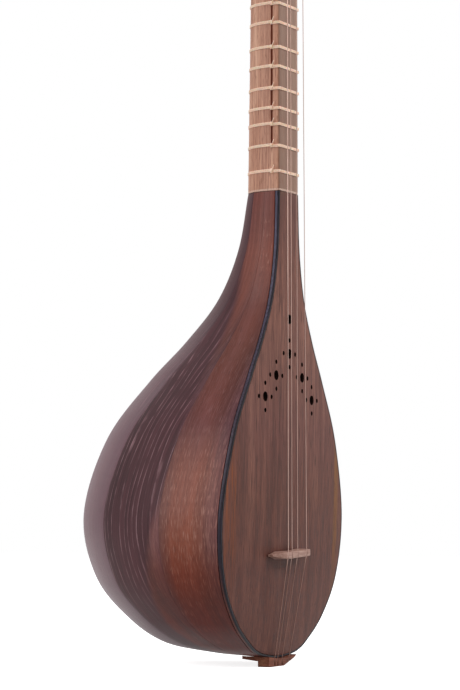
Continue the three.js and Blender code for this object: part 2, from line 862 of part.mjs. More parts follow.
// A fret's loop lies just outside the neck's section, starting and ending at the knot groove.
// Each stretch of its rounded back touches the outset section at the middle of the stretch.
function fretLoop(height, arcSteps = 5) {
  const outset = seatGap + gutDiameter / 2;
  const half = neckHalfWidth(height) + outset;
  const depth = neckDepth(height) + outset;
  const halfStep = Math.PI / (2 * arcSteps);
  const bulge = 1 / Math.cos(halfStep);
  const back = shares(arcSteps - 1, halfStep, Math.PI - halfStep).map((angle) => [
    half * bulge * Math.cos(angle),
    rimBehindFront + (depth - rimBehindFront) * bulge * Math.sin(angle),
  ]);
  return [[-half, grooveBehindFront], [-half, -outset], [half, -outset], ...back];
}

// The gut's route: a straight start, the turns round the neck, then the cut end past the knot.
function fretPath(height) {
  const loop = fretLoop(height);
  const pitch = gutDiameter + gutGap;
  const points = Array.from({ length: loop.length * gutTurns + 1 }, (_, i) => {
    const [x, y] = loop[i % loop.length];
    return at(x, y, pitch * (i / loop.length - gutTurns / 2));
  });
  const start = points[0].clone().add(at(0, gutDiameter, 0));
  const cutEnd = at(-0.35, -0.55, 0.76).setLength(knotTailLength).add(points.at(-1));
  return [start, ...points, cutEnd];
}

// A fret: one length of gut wound three times round the neck and knotted over the groove.
function fretGeometry(height) {
  const knot = new THREE.OctahedronGeometry(knotDiameter / 2).rotateY(Math.PI / 4);
  const knotOut = neckHalfWidth(height) + seatGap + gutDiameter / 8 + (knotDiameter / 2) * Math.SQRT1_2;
  knot.translate(-knotOut, grooveBehindFront, 0);
  return join(tube(fretPath(height), gutDiameter / 2, gutSides), knot);
}

// The smallest gap between stretches of a wound tube that lie at least half a turn apart.
function leastGap(points, diameter, stepsPerTurn) {
  const parts = 4;
  const fine = points.slice(1).flatMap((point, i) =>
    shares(parts).slice(1).map((share) => points[i].clone().lerp(point, share)),
  );
  const apart = Math.floor((stepsPerTurn * parts) / 2);
  let least = Infinity;
  for (let i = 0; i < fine.length; i++) {
    for (let j = i + apart; j < fine.length; j++) {
      least = Math.min(least, fine[i].distanceTo(fine[j]));
    }
  }
  return least - diameter;
}

for (let k = 0; k < ribCount; k++) {
  addPiece(`bowl_rib_${k + 1}`, ribGeometry(k), wood.bowl);
}
addPiece("neck_block", neckBlockGeometry(), wood.inside);
addPiece("tail_block", tailBlockGeometry(), wood.inside);
addPiece("soundboard", boardGeometry(), wood.board);
addPiece("board_brace", braceGeometry(), wood.inside);
addPiece("edge_strip_left", stripGeometry(-1), wood.strip);
addPiece("edge_strip_right", stripGeometry(1), wood.strip);
addPiece("neck", neckGeometry(), wood.neck);
addPiece("head", headGeometry(), wood.head);
addPiece("nut", nutGeometry(), bone);
addPiece("bridge", bridgeGeometry(), wood.bridge);
addPiece("tail_holder", tailHolderGeometry(), wood.tail);

const pegs = pegPlaces();
strings.forEach((string, i) => {
  const peg = pegs[i];
  const turned = new THREE.Group();
  turned.applyMatrix4(peg.frame);
  root.add(turned);
  addPiece(`peg_${i + 1}`, pegGeometry(peg.through), wood.peg, turned);
  const path = windingPath(string, peg);
  const radius = string.diameter / 2;
  addPiece(`peg_winding_${i + 1}`, tube(path, radius, 4), steel, turned);
  addPiece(`string_${i + 1}`, tube(stringPath(string, peg), radius, stringSides), steel);
  const gap = leastGap(path, string.diameter, 10);
  console.log(`winding ${i + 1}: least gap to itself ${gap.toFixed(2)} mm`);
});

// Gut is tied at each pitch whose place falls on the neck, clear of the body.
const fretHeights = fretPitches
  .map((cents) => nutAboveTail - scaleLength * (1 - 2 ** (-cents / 1200)))
  .filter((height) => height > bodyTopAboveTail + fretClearOfBody);
fretHeights.forEach((height, i) => {
  const number = String(i + 1).padStart(2, "0");
  const fret = addPiece(`fret_${number}`, fretGeometry(height), gut);
  fret.position.z = height;
  if (i === 0) {
    const gap = leastGap(fretPath(height), gutDiameter, fretLoop(height).length);
    console.log(`frets: least gap of the gut to itself ${gap.toFixed(2)} mm`);
  }
});

root.position.y = -frontBeforeTail;

export default root;
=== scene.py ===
from math import acos, asin, atan2, copysign, cos, hypot, pi, radians, sin, sqrt

import bmesh
import bpy
import numpy as np
from mathutils import Matrix, Vector


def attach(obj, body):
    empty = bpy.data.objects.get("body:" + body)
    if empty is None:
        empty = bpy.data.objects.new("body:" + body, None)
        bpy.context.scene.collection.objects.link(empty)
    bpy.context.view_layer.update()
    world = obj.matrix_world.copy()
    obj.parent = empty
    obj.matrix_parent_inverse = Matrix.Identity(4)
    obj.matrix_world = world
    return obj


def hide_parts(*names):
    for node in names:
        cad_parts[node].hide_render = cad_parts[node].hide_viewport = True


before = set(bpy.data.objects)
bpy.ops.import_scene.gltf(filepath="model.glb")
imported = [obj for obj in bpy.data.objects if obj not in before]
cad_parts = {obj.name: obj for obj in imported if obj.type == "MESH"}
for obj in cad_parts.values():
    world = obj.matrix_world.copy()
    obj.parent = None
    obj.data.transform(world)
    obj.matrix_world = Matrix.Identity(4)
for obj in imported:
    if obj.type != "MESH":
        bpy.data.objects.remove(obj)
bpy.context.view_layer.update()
print("frame loaded,", len(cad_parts), "nodes")

# What several pieces share, in millimetres and degrees; heights are above the flat of the tail holder
setar = dict(
    frontBeforeTail=7.6,
    bodyTop=268.0,
    boardEnd=4.6,
    seatGap=0.3,
    nutMiddle=712.8,
    nutThickness=3.0,
    nutHeight=3.1,
    nutSink=1.5,
    bridgeMiddle=62.8,
    bridgeHeight=7.6,
    notchWidth=1.1,
    notchDepth=0.7,
    sharpAngle=35.0,
    wireAngle=50.0,
    ribAngle=45.0,
    boardAngle=30.0,
    easeAngle=30.0,
    flatAngle=1.5,
    mergeGap=2e-6,
)
bodyTop, seatGap, nutMiddle = setar["bodyTop"], setar["seatGap"], setar["nutMiddle"]
boardLength = bodyTop - setar["boardEnd"]


def inFrame(points):  # millimetres behind the board's face to metres in the frame
    placed = np.asarray(points, float).reshape(-1, 3) - (0, setar["frontBeforeTail"], 0)
    return placed * 0.001


def addObject(name, data):
    obj = bpy.data.objects.new(name, data)
    bpy.context.scene.collection.objects.link(obj)
    return obj


def meshObject(name, points, faces=(), edges=()):
    mesh = bpy.data.meshes.new(name)
    mesh.from_pydata([tuple(p) for p in inFrame(points)], edges, faces)
    mesh.update()
    return addObject(name, mesh)


def turnOutward(obj):  # closed shells only: normals out, edges sharp by angle
    sharp = radians(setar["sharpAngle"])
    shape = bmesh.new()
    shape.from_mesh(obj.data)
    bmesh.ops.remove_doubles(shape, verts=shape.verts, dist=setar["mergeGap"])
    bmesh.ops.dissolve_degenerate(shape, edges=shape.edges, dist=1e-6)
    bmesh.ops.recalc_face_normals(shape, faces=shape.faces)
    if shape.calc_volume(signed=True) < 0:
        bmesh.ops.reverse_faces(shape, faces=shape.faces)
    for face in shape.faces:
        face.smooth = True
    for edge in shape.edges:
        edge.smooth = len(edge.link_faces) == 2 and edge.calc_face_angle(0) < sharp
    shape.to_mesh(obj.data)
    shape.free()


def loft(name, rings):  # rings of equally many points, capped at both ends
    rings = np.asarray(rings, float)
    rows, count = rings.shape[:2]
    faces = []
    for row in range(rows - 1):
        for i in range(count):
            j = (i + 1) % count
            a, b = row * count, (row + 1) * count
            faces.append((a + i, a + j, b + j, b + i))
    faces.append(tuple(range(count)))
    faces.append(tuple(reversed(range((rows - 1) * count, rows * count))))
    obj = meshObject(name, rings.reshape(-1, 3), faces)
    turnOutward(obj)
    return obj


def place(obj, body, slot, *nodes):  # the piece stands for these CAD nodes on that body
    obj.data.materials.clear()
    obj.data.materials.append(finishes[slot])
    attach(obj, body)
    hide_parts(*nodes)


def between(low, high, share):
    return low + (high - low) * share


def shade(code):  # a colour as on a screen to the linear values of a shader
    levels = [int(code[i : i + 2], 16) / 255 for i in (1, 3, 5)]
    return tuple(c / 12.92 if c <= 0.04045 else ((c + 0.055) / 1.055) ** 2.4 for c in levels) + (1,)


def addNode(tree, kind, inputs=None, **settings):
    node = tree.nodes.new(kind)
    for key, value in settings.items():
        setattr(node, key, value)
    for key, value in (inputs or {}).items():
        feed(node.inputs[key], value)
    return node


def feed(socket, value):
    if isinstance(value, bpy.types.NodeSocket):
        socket.id_data.links.new(value, socket)
    else:
        socket.default_value = value


def addBeside(kind, inputs, **settings):  # a new node in the tree of the sockets it is fed from
    tree = next(value.id_data for value in inputs.values() if isinstance(value, bpy.types.NodeSocket))
    return addNode(tree, kind, inputs, **settings)


def maths(operation, *values):
    return addBeside("ShaderNodeMath", dict(enumerate(values)), operation=operation).outputs[0]


def product(first, *others):
    for other in others:
        first = maths("MULTIPLY", first, other)
    return first


# Geometry Nodes
def newTree(name, inputs):  # inputs: name to (socket type, value); the material's comes with each
    group = bpy.data.node_groups.new(name, "GeometryNodeTree")
    face = group.interface
    face.new_socket("Geometry", in_out="INPUT", socket_type="NodeSocketGeometry")
    for label, (kind, value) in inputs.items():
        socket = face.new_socket(label, in_out="INPUT", socket_type="NodeSocket" + kind)
        if value is not None:
            socket.default_value = value
    face.new_socket("Material", in_out="INPUT", socket_type="NodeSocketMaterial")
    face.new_socket("Geometry", in_out="OUTPUT", socket_type="NodeSocketGeometry")
    return group, group.nodes.new("NodeGroupInput").outputs


def geometry(kind, inputs, **settings):  # the first output of a new geometry node
    return addBeside("GeometryNode" + kind, inputs, **settings).outputs[0]


def endTree(group, given, shape, angle):  # smooth, with the edges that bend more than the angle sharp
    shape = geometry("SetShadeSmooth", {"Geometry": shape})
    bend = {0: addNode(group, "GeometryNodeInputMeshEdgeAngle").outputs[0], 1: radians(angle)}
    sharp = addBeside("FunctionNodeCompare", bend, operation="GREATER_THAN").outputs[0]
    crisp = {"Geometry": shape, "Selection": sharp, "Shade Smooth": False}
    shape = geometry("SetShadeSmooth", crisp, domain="EDGE")
    shape = geometry("RealizeInstances", {"Geometry": shape})
    shape = geometry("SetMaterial", {"Geometry": shape, "Material": given["Material"]})
    feed(group.nodes.new("NodeGroupOutput").inputs[0], shape)
    return group


def keepShown(obj):  # the object's mesh becomes what its modifiers make of it
    graph = bpy.context.evaluated_depsgraph_get()
    shown = obj.evaluated_get(graph)
    mesh = bpy.data.meshes.new_from_object(shown, preserve_all_data_layers=True, depsgraph=graph)
    obj.modifiers.clear()
    obj.data = mesh
    mesh.name = obj.name


def grow(obj, group, values, body, slot, *nodes):  # runs a tree on the object, keeps its mesh and places it
    modifier = obj.modifiers.new(group.name, "NODES")
    modifier.node_group = group
    sockets = {s.name: s.identifier for s in group.interface.items_tree if s.in_out == "INPUT"}
    for label, value in dict(values, Material=finishes[slot]).items():
        modifier[sockets[label]] = value
    keepShown(obj)
    place(obj, body, slot, *nodes)


def wireTree():  # a round wire along a path, its corners bent round
    sizes = {"Diameter": ("Float", 0.0004), "Sides": ("Int", 10), "Bend Radius": ("Float", 0.0004)}
    group, given = newTree("wireAlongPath", sizes)
    line = geometry("MeshToCurve", {"Mesh": given["Geometry"]})
    bend = {"Curve": line, "Radius": given["Bend Radius"], "Limit Radius": True, "Count": 4}
    bent = geometry("FilletCurve", bend, mode="POLY")
    half = maths("MULTIPLY", given["Diameter"], 0.5)
    ring = geometry("CurvePrimitiveCircle", {"Resolution": given["Sides"], "Radius": half})
    wire = geometry("CurveToMesh", {"Curve": bent, "Profile Curve": ring, "Fill Caps": True})
    return endTree(group, given, wire, setar["wireAngle"])


def barTree():  # a bar of rounded rectangular section along a path
    sizes = {"Width": ("Float", 0.0012), "Thickness": ("Float", 0.0024), "Edge Radius": ("Float", 0.0002)}
    group, given = newTree("barAlongPath", sizes)
    line = geometry("MeshToCurve", {"Mesh": given["Geometry"]})
    upright = geometry("SetCurveNormal", {"Curve": line, "Normal": (0, 1, 0)}, mode="FREE")
    flat = {"Width": given["Thickness"], "Height": given["Width"]}
    section = geometry("CurvePrimitiveQuadrilateral", flat)
    soft = {"Curve": section, "Radius": given["Edge Radius"], "Count": 3}
    section = geometry("FilletCurve", soft, mode="POLY")
    spot = addNode(group, "GeometryNodeInputPosition").outputs[0]
    mark = {"Geometry": section, "Name": "sectionPlace", "Value": spot}
    section = geometry("StoreNamedAttribute", mark, data_type="FLOAT_VECTOR", domain="POINT")
    bar = geometry("CurveToMesh", {"Curve": upright, "Profile Curve": section, "Fill Caps": True})
    return endTree(group, given, bar, setar["wireAngle"])


def pathObject(name, points):
    return meshObject(name, points, edges=[(i, i + 1) for i in range(len(points) - 1)])


# Finishes
def newFinish(name, **values):
    material = bpy.data.materials.new(name)
    material.use_nodes = True
    shader = material.node_tree.nodes["Principled BSDF"]
    for key, value in values.items():
        shader.inputs[key.replace("_", " ")].default_value = value
    return material, shader


def noise(vector, scale, shift=(0, 0, 0), detail=2.0, roughness=0.5):
    inputs = {"Vector": vector, "Scale": scale, "Location": shift}
    spot = addBeside("ShaderNodeMapping", inputs).outputs[0]
    inputs = {"Vector": spot, "Scale": 1.0, "Detail": detail, "Roughness": roughness}
    return addBeside("ShaderNodeTexNoise", inputs).outputs["Fac"]


def ramp(value, *stops, mode="LINEAR"):  # stops: (place, colour code or grey value)
    node = addBeside("ShaderNodeValToRGB", {"Fac": value})
    node.color_ramp.interpolation = mode
    elements = node.color_ramp.elements
    while len(elements) < len(stops):
        elements.new(0.5)
    for element, (spot, colour) in zip(elements, stops):
        element.position = spot
        element.color = shade(colour) if isinstance(colour, str) else (colour, colour, colour, 1)
    return node.outputs[0]


def blendColour(share, a, b, mode="MIX"):
    a, b = (shade(colour) if isinstance(colour, str) else colour for colour in (a, b))
    inputs = {0: share, 6: a, 7: b}
    return addBeside("ShaderNodeMix", inputs, data_type="RGBA", blend_type=mode).outputs[2]


def tint(colour, paint, *masks):  # paint: a colour code and its share where all masks are 1
    return blendColour(product(*masks, paint[1]), colour, paint[0])


def objectPlace(near):  # near: a socket or node of the same tree
    return addNode(near.id_data, "ShaderNodeTexCoord").outputs["Object"]


def attribute(near, name, output="Vector"):
    return addNode(near.id_data, "ShaderNodeAttribute", attribute_name=name).outputs[output]


def parts(vector):  # its x, y and z
    return addBeside("ShaderNodeSeparateXYZ", {0: vector}).outputs[:3]


def rescale(value, low, high, start=0.0, end=1.0):  # low to high becomes start to end
    inputs = {"Value": value, "From Min": low, "From Max": high, "To Min": start, "To Max": end}
    return addBeside("ShaderNodeMapRange", inputs).outputs[0]


def window(value, low, high, soft):  # 1 between low and high, with soft edges
    up, down = (rescale(value, edge - soft, edge + soft) for edge in (low, high))
    return maths("SUBTRACT", up, down)


def paintedShadeByHeight(colour, *stops):  # painted shade that changes with height, from the tail (0) to the body's top (1)
    z = parts(objectPlace(colour))[2]
    share = maths("DIVIDE", z, bodyTop * 0.001)
    return blendColour(1.0, colour, ramp(share, *stops), mode="MULTIPLY")


def layFinish(shader, colour, rough, height, strength, distance):
    inputs = {"Height": height, "Strength": strength, "Distance": distance}
    bump = addBeside("ShaderNodeBump", inputs).outputs[0]
    for label, value in (("Base Color", colour), ("Roughness", rough), ("Normal", bump)):
        feed(shader.inputs[label], value)


# Wood: long fibres, broad bands of tone and short dark pores along one axis of the place given
def grain(vector, look):
    across, along = look["fibreAcross"], look["fibreAlong"]

    def stretched(place, a, b, *settings):
        scale = [1 / a] * 3
        scale[look["alongAxis"]] = 1 / b
        return noise(place, scale, *settings)

    drift = stretched(vector, 0.02, 0.12, (3.1, 7.7, 1.3), 1.0)
    shift = maths("MULTIPLY_ADD", drift, look["waver"], -look["waver"] / 2)
    aside = addBeside("ShaderNodeCombineXYZ", {0: shift}).outputs[0]
    bent = addBeside("ShaderNodeVectorMath", {0: vector, 1: aside}, operation="ADD").outputs[0]
    fibre = stretched(bent, across, along, (0, 0, 0), 3.0, 0.6)
    band = stretched(bent, across * 9, along * 4, (5.2, 1.4, 8.8))
    pore = stretched(bent, look["poreWidth"], look["poreLength"], (9.0, 4.0, 2.0), 2.0, 0.55)
    tone = maths("MULTIPLY_ADD", fibre, look["fibreShare"], 0.5 - look["fibreShare"] / 2)
    tone = maths("MULTIPLY_ADD", band, look["bandShare"], tone)
    tone = maths("SUBTRACT", tone, look["bandShare"] / 2)
    colour = ramp(tone, (0.3, look["dark"]), (0.5, look["middle"]), (0.7, look["light"]))
    pores = ramp(pore, (look["poreFrom"], 0.0), (look["poreFrom"] + 0.07, 1.0))
    return colour, tone, pores, fibre


def woodFinish(name, look, dress=None, vector=objectPlace):
    material, shader = newFinish(
        name,
        Coat_Weight=look["coat"],
        Coat_Roughness=look["coatRoughness"],
        Specular_IOR_Level=look["specular"],
    )
    where = vector(shader)
    colour, tone, pores, fibre = grain(where, look)
    if dress:
        colour = dress(where, colour, tone)
    colour = tint(colour, (look["pore"], look["poreShare"]), pores)
    rough = rescale(fibre, 0.3, 0.7, *look["rough"])
    height = maths("MULTIPLY_ADD", pores, -0.8, fibre)
    layFinish(shader, colour, rough, height, look["bump"], look["bumpDepth"])
    return material


plainWood = dict(
    fibreAlong=0.03,
    fibreShare=0.8,
    poreWidth=0.0005,
    coat=0.03,
    coatRoughness=0.3,
    bump=0.2,
    bumpDepth=0.0002,
    alongAxis=2,
)
bowlWood = dict(
    plainWood,
    dark="#4a2724",
    middle="#67403a",
    light="#865850",
    pore="#331a1a",
    fibreAcross=0.0012,
    fibreAlong=0.05,
    fibreShare=0.7,
    bandShare=0.5,
    waver=0.003,
    poreWidth=0.0004,
    poreLength=0.005,
    poreFrom=0.58,
    poreShare=0.35,
    rough=(0.32, 0.42),
    coat=0.0,
    coatRoughness=0.2,
    specular=0.14,
    bump=0.12,
    alongAxis=1,
    plumDark="#35191e",
    plumLight="#512e33",
    mauveToneAndSheen=("#6b4853", 1.0),
    line=("#9a767b", 1.0),
    flame=("#a2563c", 0.62),
    dash=("#b38374", 1.0),
    beside=("#7c4f55", 0.45),
    seam=("#3c2226", 0.6),
    lineGap=0.0042,
    lineStray=2.6,
    lineHeights=(0.04, 0.19, 0.02),
    lowFade=(0.12, 0.2, 1.0, 0.15),
    borderRise=(0.04, 0.165, -0.006, 0.024),
    borderFoot=(0.195, 0.27, 0.0, -0.024),
    borderSoft=(-0.002, 0.003),
    flameBand=(-0.008, 0.017, 0.006),
    besideBand=(-0.008, -0.022),
    seamBand=(0.011, 0.02),
    fleckReach=(0.014, 0.045, 0.006),
    firstRib=(0.05, 0.15, 0.01),
    secondRib=(0.15, 0.25, 0.01),
    plumRibs=((0, 0.0), (0.19, 1.0), (0.31, 0.9), (0.44, 0.5), (0.56, 0.75), (0.69, 1.0), (0.81, 0.0)),
    mauveSheenRibs=((0, 0.0), (0.19, 0.0), (0.31, 0.85), (0.44, 0.3), (0.56, 0.5), (0.69, 0.0), (0.81, 0.0)),
    plumHeightShades=((0.0, "#ffdcd8"), (0.14, "#fff0ee"), (0.3, "#ffffff"), (0.5, "#f4eef0")),
    heightShades=(
        (0.0, "#dca89f"), (0.08, "#c88578"), (0.14, "#c09488"), (0.2, "#dcbcb0"), (0.26, "#ffffff"),
        (0.4, "#fff8f4"), (0.5, "#cdc4da"), (0.65, "#babed0"), (0.76, "#d0d0e2"), (0.87, "#f2e8ec"),
        (1.0, "#e2d8ea"),
    ),
)


def ribPlace(near):  # across the rib, along it, and a step of 0.1 for each rib
    return attribute(near, "ribPlace")


def dressBowl(where, colour, tone):  # plum ribs with pale lines, redder ribs beside the board, painted shade by height, and a mauve that is partly rib tone, partly painted sheen
    look = bowlWood
    across, along, step = parts(where)
    z = parts(objectPlace(where))[2]
    low = rescale(z, *look["lowFade"])

    cloud = noise(where, (26, 8, 40))
    clouds = ramp(cloud, (0.3, 0.2), (0.6, 0.9))
    colour = tint(colour, look["flame"], window(across, *look["flameBand"]), clouds)
    dashes = ramp(noise(where, (2100, 150, 10), (2, 9, 4), 1.0), (0.56, 0.0), (0.68, 1.0))
    patches = ramp(cloud, (0.35, 0.25), (0.6, 0.75))
    colour = tint(colour, look["dash"], dashes, patches, low)
    colour = tint(colour, look["beside"], rescale(across, *look["besideBand"]))
    # painted shade by height on the redder ribs: darker and redder towards the tail, greyer and bluer towards
    # the top
    colour = paintedShadeByHeight(colour, *look["heightShades"])
    colour = tint(colour, look["seam"], rescale(across, *look["seamBand"]))

    number = maths("MULTIPLY", step, 1.25)
    plum = blendColour(ramp(tone, (0.35, 0.0), (0.65, 1.0)), look["plumDark"], look["plumLight"])
    stray = noise(where, (90, 9, 30), (1, 5, 3))
    lines = maths("MULTIPLY_ADD", stray, look["lineStray"], maths("DIVIDE", across, look["lineGap"]))
    offset = maths("ABSOLUTE", maths("SUBTRACT", maths("FRACT", lines), 0.5))
    veins = ramp(offset, (0.0, 1.0), (0.12, 0.0))
    broken = ramp(noise(where, (260, 90, 30), (4, 1, 6)), (0.4, 0.08), (0.62, 0.85))
    plum = tint(plum, look["line"], veins, broken, window(z, *look["lineHeights"]))
    # painted shade by height on the plum ribs, a little darker towards the tail
    plum = paintedShadeByHeight(plum, *look["plumHeightShades"])
    # mauve on some ribs, fading out higher up: partly the ribs' own tone, partly painted sheen
    plum = tint(plum, look["mauveToneAndSheen"], ramp(number, *look["mauveSheenRibs"], mode="CONSTANT"), low)

    rise, foot = (rescale(along, *look[key]) for key in ("borderRise", "borderFoot"))
    plumSide = maths("ADD", maths("ADD", rise, foot), across)
    redSide = maths("SUBTRACT", 1.0, rescale(plumSide, *look["borderSoft"]))
    redSide = product(window(step, *look["secondRib"]), redSide)
    plumRib = ramp(number, *look["plumRibs"], mode="CONSTANT")
    colour = blendColour(maths("SUBTRACT", plumRib, redSide), colour, plum)
    flecks = ramp(noise(where, (800, 260, 10), (7, 3, 2)), (0.6, 0.0), (0.7, 0.35))
    upper = window(along, *look["fleckReach"])
    return tint(colour, look["dash"], flecks, upper, window(step, *look["firstRib"]))


boardWood = dict(
    plainWood,
    dark="#583830",
    middle="#754c42",
    light="#95695a",
    pore="#3a211c",
    fibreAcross=0.0007,
    bandShare=0.5,
    waver=0.003,
    poreLength=0.012,
    poreFrom=0.56,
    poreShare=0.7,
    rough=(0.45, 0.6),
    specular=0.1,
    # painted shade for the walls of the holes
    hole=("#120806", 1.0),
    streak=(("#a05a2c", 0.9), (-0.078, -0.062, 0.004), (0.05, 0.125, 0.02)),
    gold=(("#a5742e", 0.5), (0.065, 0.0705, 0.0015), (0.05, 0.13, 0.02)),
    top=(("#6e5434", 0.6), (-0.013, -0.004, 0.001), (0.27, 0.31, 0.008)),
    heightShades=(
        (0.05, "#cabab5"), (0.2, "#c6b4b0"), (0.35, "#d6c8c2"), (0.5, "#e6dde2"), (0.65, "#ffffff"),
        (0.85, "#fffaf6"), (0.97, "#e8e2e4"),
    ),
)


def dressBoard(where, colour, tone):  # warm streaks at the rims, painted shade by height and in the holes
    x, _, z = parts(where)
    threads = ramp(noise(where, (1400, 300, 26), (6, 2, 8)), (0.45, 0.0), (0.62, 1.0))
    for key in ("streak", "gold", "top"):
        paint, sides, heights = boardWood[key]
        masks = [window(x, *sides), window(z, *heights)]
        if key == "streak":
            masks.append(threads)
        colour = tint(colour, paint, *masks)
    # painted shade by height: darker towards the tail and a little at the very top
    colour = paintedShadeByHeight(colour, *boardWood["heightShades"])
    # painted shade on the drilled hole walls, near black
    return tint(colour, boardWood["hole"], attribute(where, "drilled", "Fac"))


neckWood = dict(
    plainWood,
    dark="#a06c56",
    middle="#c08c74",
    light="#dcae94",
    pore="#7d4a36",
    fibreAcross=0.0009,
    bandShare=0.6,
    waver=0.002,
    poreLength=0.006,
    poreFrom=0.57,
    poreShare=0.55,
    rough=(0.45, 0.58),
    specular=0.25,
    # painted shade for the neck's front
    front=("#6c5546", 0.75),
    corner=("#8a4f33", 0.35),
    joint=("#e0bfae", 0.6),
    groove=("#8c4a34", 1.0),
    faceEnd=0.0006,
    cornerEnd=0.0011,
    jointHeight=0.0014,
    grooveMiddle=0.0047,
    grooveHalf=0.00072,
    grooveRise=(0.29, 0.296),
    crisp=0.0001,
    grooveCrisp=0.00008,
)


def dressNeck(where, colour, tone):  # painted shade on the front, pale joint, painted shade in the groove in the left side
    look = neckWood
    x, y, z = parts(where)
    front = -setar["frontBeforeTail"] * 0.001
    faceEnd, cornerEnd, middle = (front + look[key] for key in ("faceEnd", "cornerEnd", "grooveMiddle"))
    face = window(y, front - 0.005, faceEnd, look["crisp"])
    corner = window(y, faceEnd, cornerEnd, look["crisp"])
    joint = maths("LESS_THAN", z, bodyTop * 0.001 + look["jointHeight"])
    # the front tint is painted shade
    for key, mask in (("front", face), ("corner", corner), ("joint", joint)):
        colour = tint(colour, look[key], mask)
    # painted shade inside the groove, from where the groove begins
    low, high = middle - look["grooveHalf"], middle + look["grooveHalf"]
    groove = window(y, low, high, look["grooveCrisp"])
    left = maths("LESS_THAN", x, 0.0)
    return tint(colour, look["groove"], groove, left, rescale(z, *look["grooveRise"]))


headWood = dict(neckWood, dark="#7a5244", middle="#946b59", light="#a8806c")
bridgeWood = dict(
    neckWood,
    dark="#8c6558",
    middle="#a37e71",
    light="#ba988a",
    pore="#7d5347",
    alongAxis=0,
    fibreAlong=0.012,
    bump=0.12,
)
holderWood = dict(
    boardWood, dark="#64382a", middle="#86503e", light="#9a6e50", alongAxis=0, coat=0.0, fibreAlong=0.02
)
stripWood = dict(
    boardWood,
    dark="#120e13",
    middle="#1d181f",
    light="#302a35",
    pore="#0b090d",
    coat=0.08,
    rough=(0.36, 0.48),
    bump=0.08,
    tail=("#6a3c34", 1.0),
    frontDepth=(-0.0001, -0.0004),
    backDepth=(-0.0001, 0.0002),
    tailHeight=(0.06, 0.03),
)


def dressStrip(where, colour, tone):  # black in front; the outer side has a painted blue-grey sheen with painted shade lower down, and is like the rib at the tail
    depth = parts(attribute(where, "sectionPlace"))[0]
    # painted sheen on the outer side of the strip
    paintedSheenSide = ramp(tone, (0.35, "#383442"), (0.65, "#585268"))
    # painted shade by height on the sheen, darker towards the tail
    paintedSheenSide = paintedShadeByHeight(paintedSheenSide, (0.1, "#50464a"), (0.3, "#8c8088"), (0.5, "#e0ccc4"), (0.9, "#ffffff"))
    behind = rescale(depth, *stripWood["backDepth"])
    tail = rescale(parts(where)[2], *stripWood["tailHeight"])
    paintedSheenSide = tint(paintedSheenSide, stripWood["tail"], behind, tail)
    return blendColour(rescale(depth, *stripWood["frontDepth"]), paintedSheenSide, colour)


pegWood = dict(
    boardWood,
    dark="#2a1b19",
    middle="#3b2825",
    light="#533833",
    coat=0.5,
    coatRoughness=0.15,
    rough=(0.25, 0.35),
    fibreAlong=0.015,
    alongAxis=0,
)
insideWood = dict(neckWood, dark="#8f6b48", middle="#b08a62", light="#c9a57e", rough=(0.7, 0.85), coat=0.0)


def boneFinish():
    material, shader = newFinish(
        "polishedBone", Coat_Weight=0.2, Subsurface_Weight=0.1, Subsurface_Scale=0.002
    )
    where = objectPlace(shader)
    cloud = noise(where, (300, 300, 90), detail=3.0)
    lines = noise(where, (300, 2500, 2500))
    colour = ramp(cloud, (0.3, "#d8cbb0"), (0.5, "#e8dfca"), (0.7, "#f1ead9"))
    colour = tint(colour, ("#bfae8c", 0.35), ramp(lines, (0.55, 0.0), (0.7, 1.0)))
    layFinish(shader, colour, rescale(cloud, 0, 1, 0.3, 0.5), lines, 0.1, 0.0001)
    return material


def gutFinish():
    material, shader = newFinish(
        "tiedGut", Coat_Weight=0.15, Subsurface_Weight=0.2, Subsurface_Scale=0.0006
    )
    where = objectPlace(shader)
    twist = noise(where, (900, 900, 2600))
    stain = noise(where, (160, 160, 60))
    colour = ramp(twist, (0.3, "#f5cdb0"), (0.5, "#ffdcc2"), (0.7, "#ffe8d4"))
    colour = tint(colour, ("#e8b8a0", 0.2), ramp(stain, (0.5, 0.0), (0.7, 1.0)))
    layFinish(shader, colour, rescale(twist, 0, 1, 0.4, 0.6), twist, 0.08, 0.0001)
    return material


def wireFinish():  # painted shade below the bridge
    material, shader = newFinish("drawnSteel", Metallic=0.75)
    where = objectPlace(shader)
    drawn = noise(where, (6000, 6000, 40))
    tarnish = noise(where, (60, 60, 25), detail=3.0)
    colour = ramp(tarnish, (0.35, "#b08f84"), (0.6, "#c0a196"), (0.75, "#a07c70"))
    # painted shade by height: the wire darker below the bridge
    colour = paintedShadeByHeight(colour, (0.2, "#b4a29c"), (0.24, "#ffffff"))
    layFinish(shader, colour, rescale(drawn, 0, 1, 0.28, 0.45), drawn, 0.1, 0.00002)
    return material


finishes = {
    "bowl_wood": woodFinish("varnishedBowl", bowlWood, dressBowl, ribPlace),
    "board_wood": woodFinish("boardBrown", boardWood, dressBoard),
    "neck_wood": woodFinish("neckBrown", neckWood, dressNeck),
    "head_wood": woodFinish("headBrown", headWood),
    "bridge_wood": woodFinish("bridgePink", bridgeWood),
    "holder_wood": woodFinish("holderBrown", holderWood),
    "dark_strip": woodFinish("stripBlack", stripWood, dressStrip),
    "peg_wood": woodFinish("pegDark", pegWood),
    "plain_wood": woodFinish("insidePale", insideWood),
    "bone": boneFinish(),
    "gut": gutFinish(),
    "string_steel": wireFinish(),
}
print("finishes made")

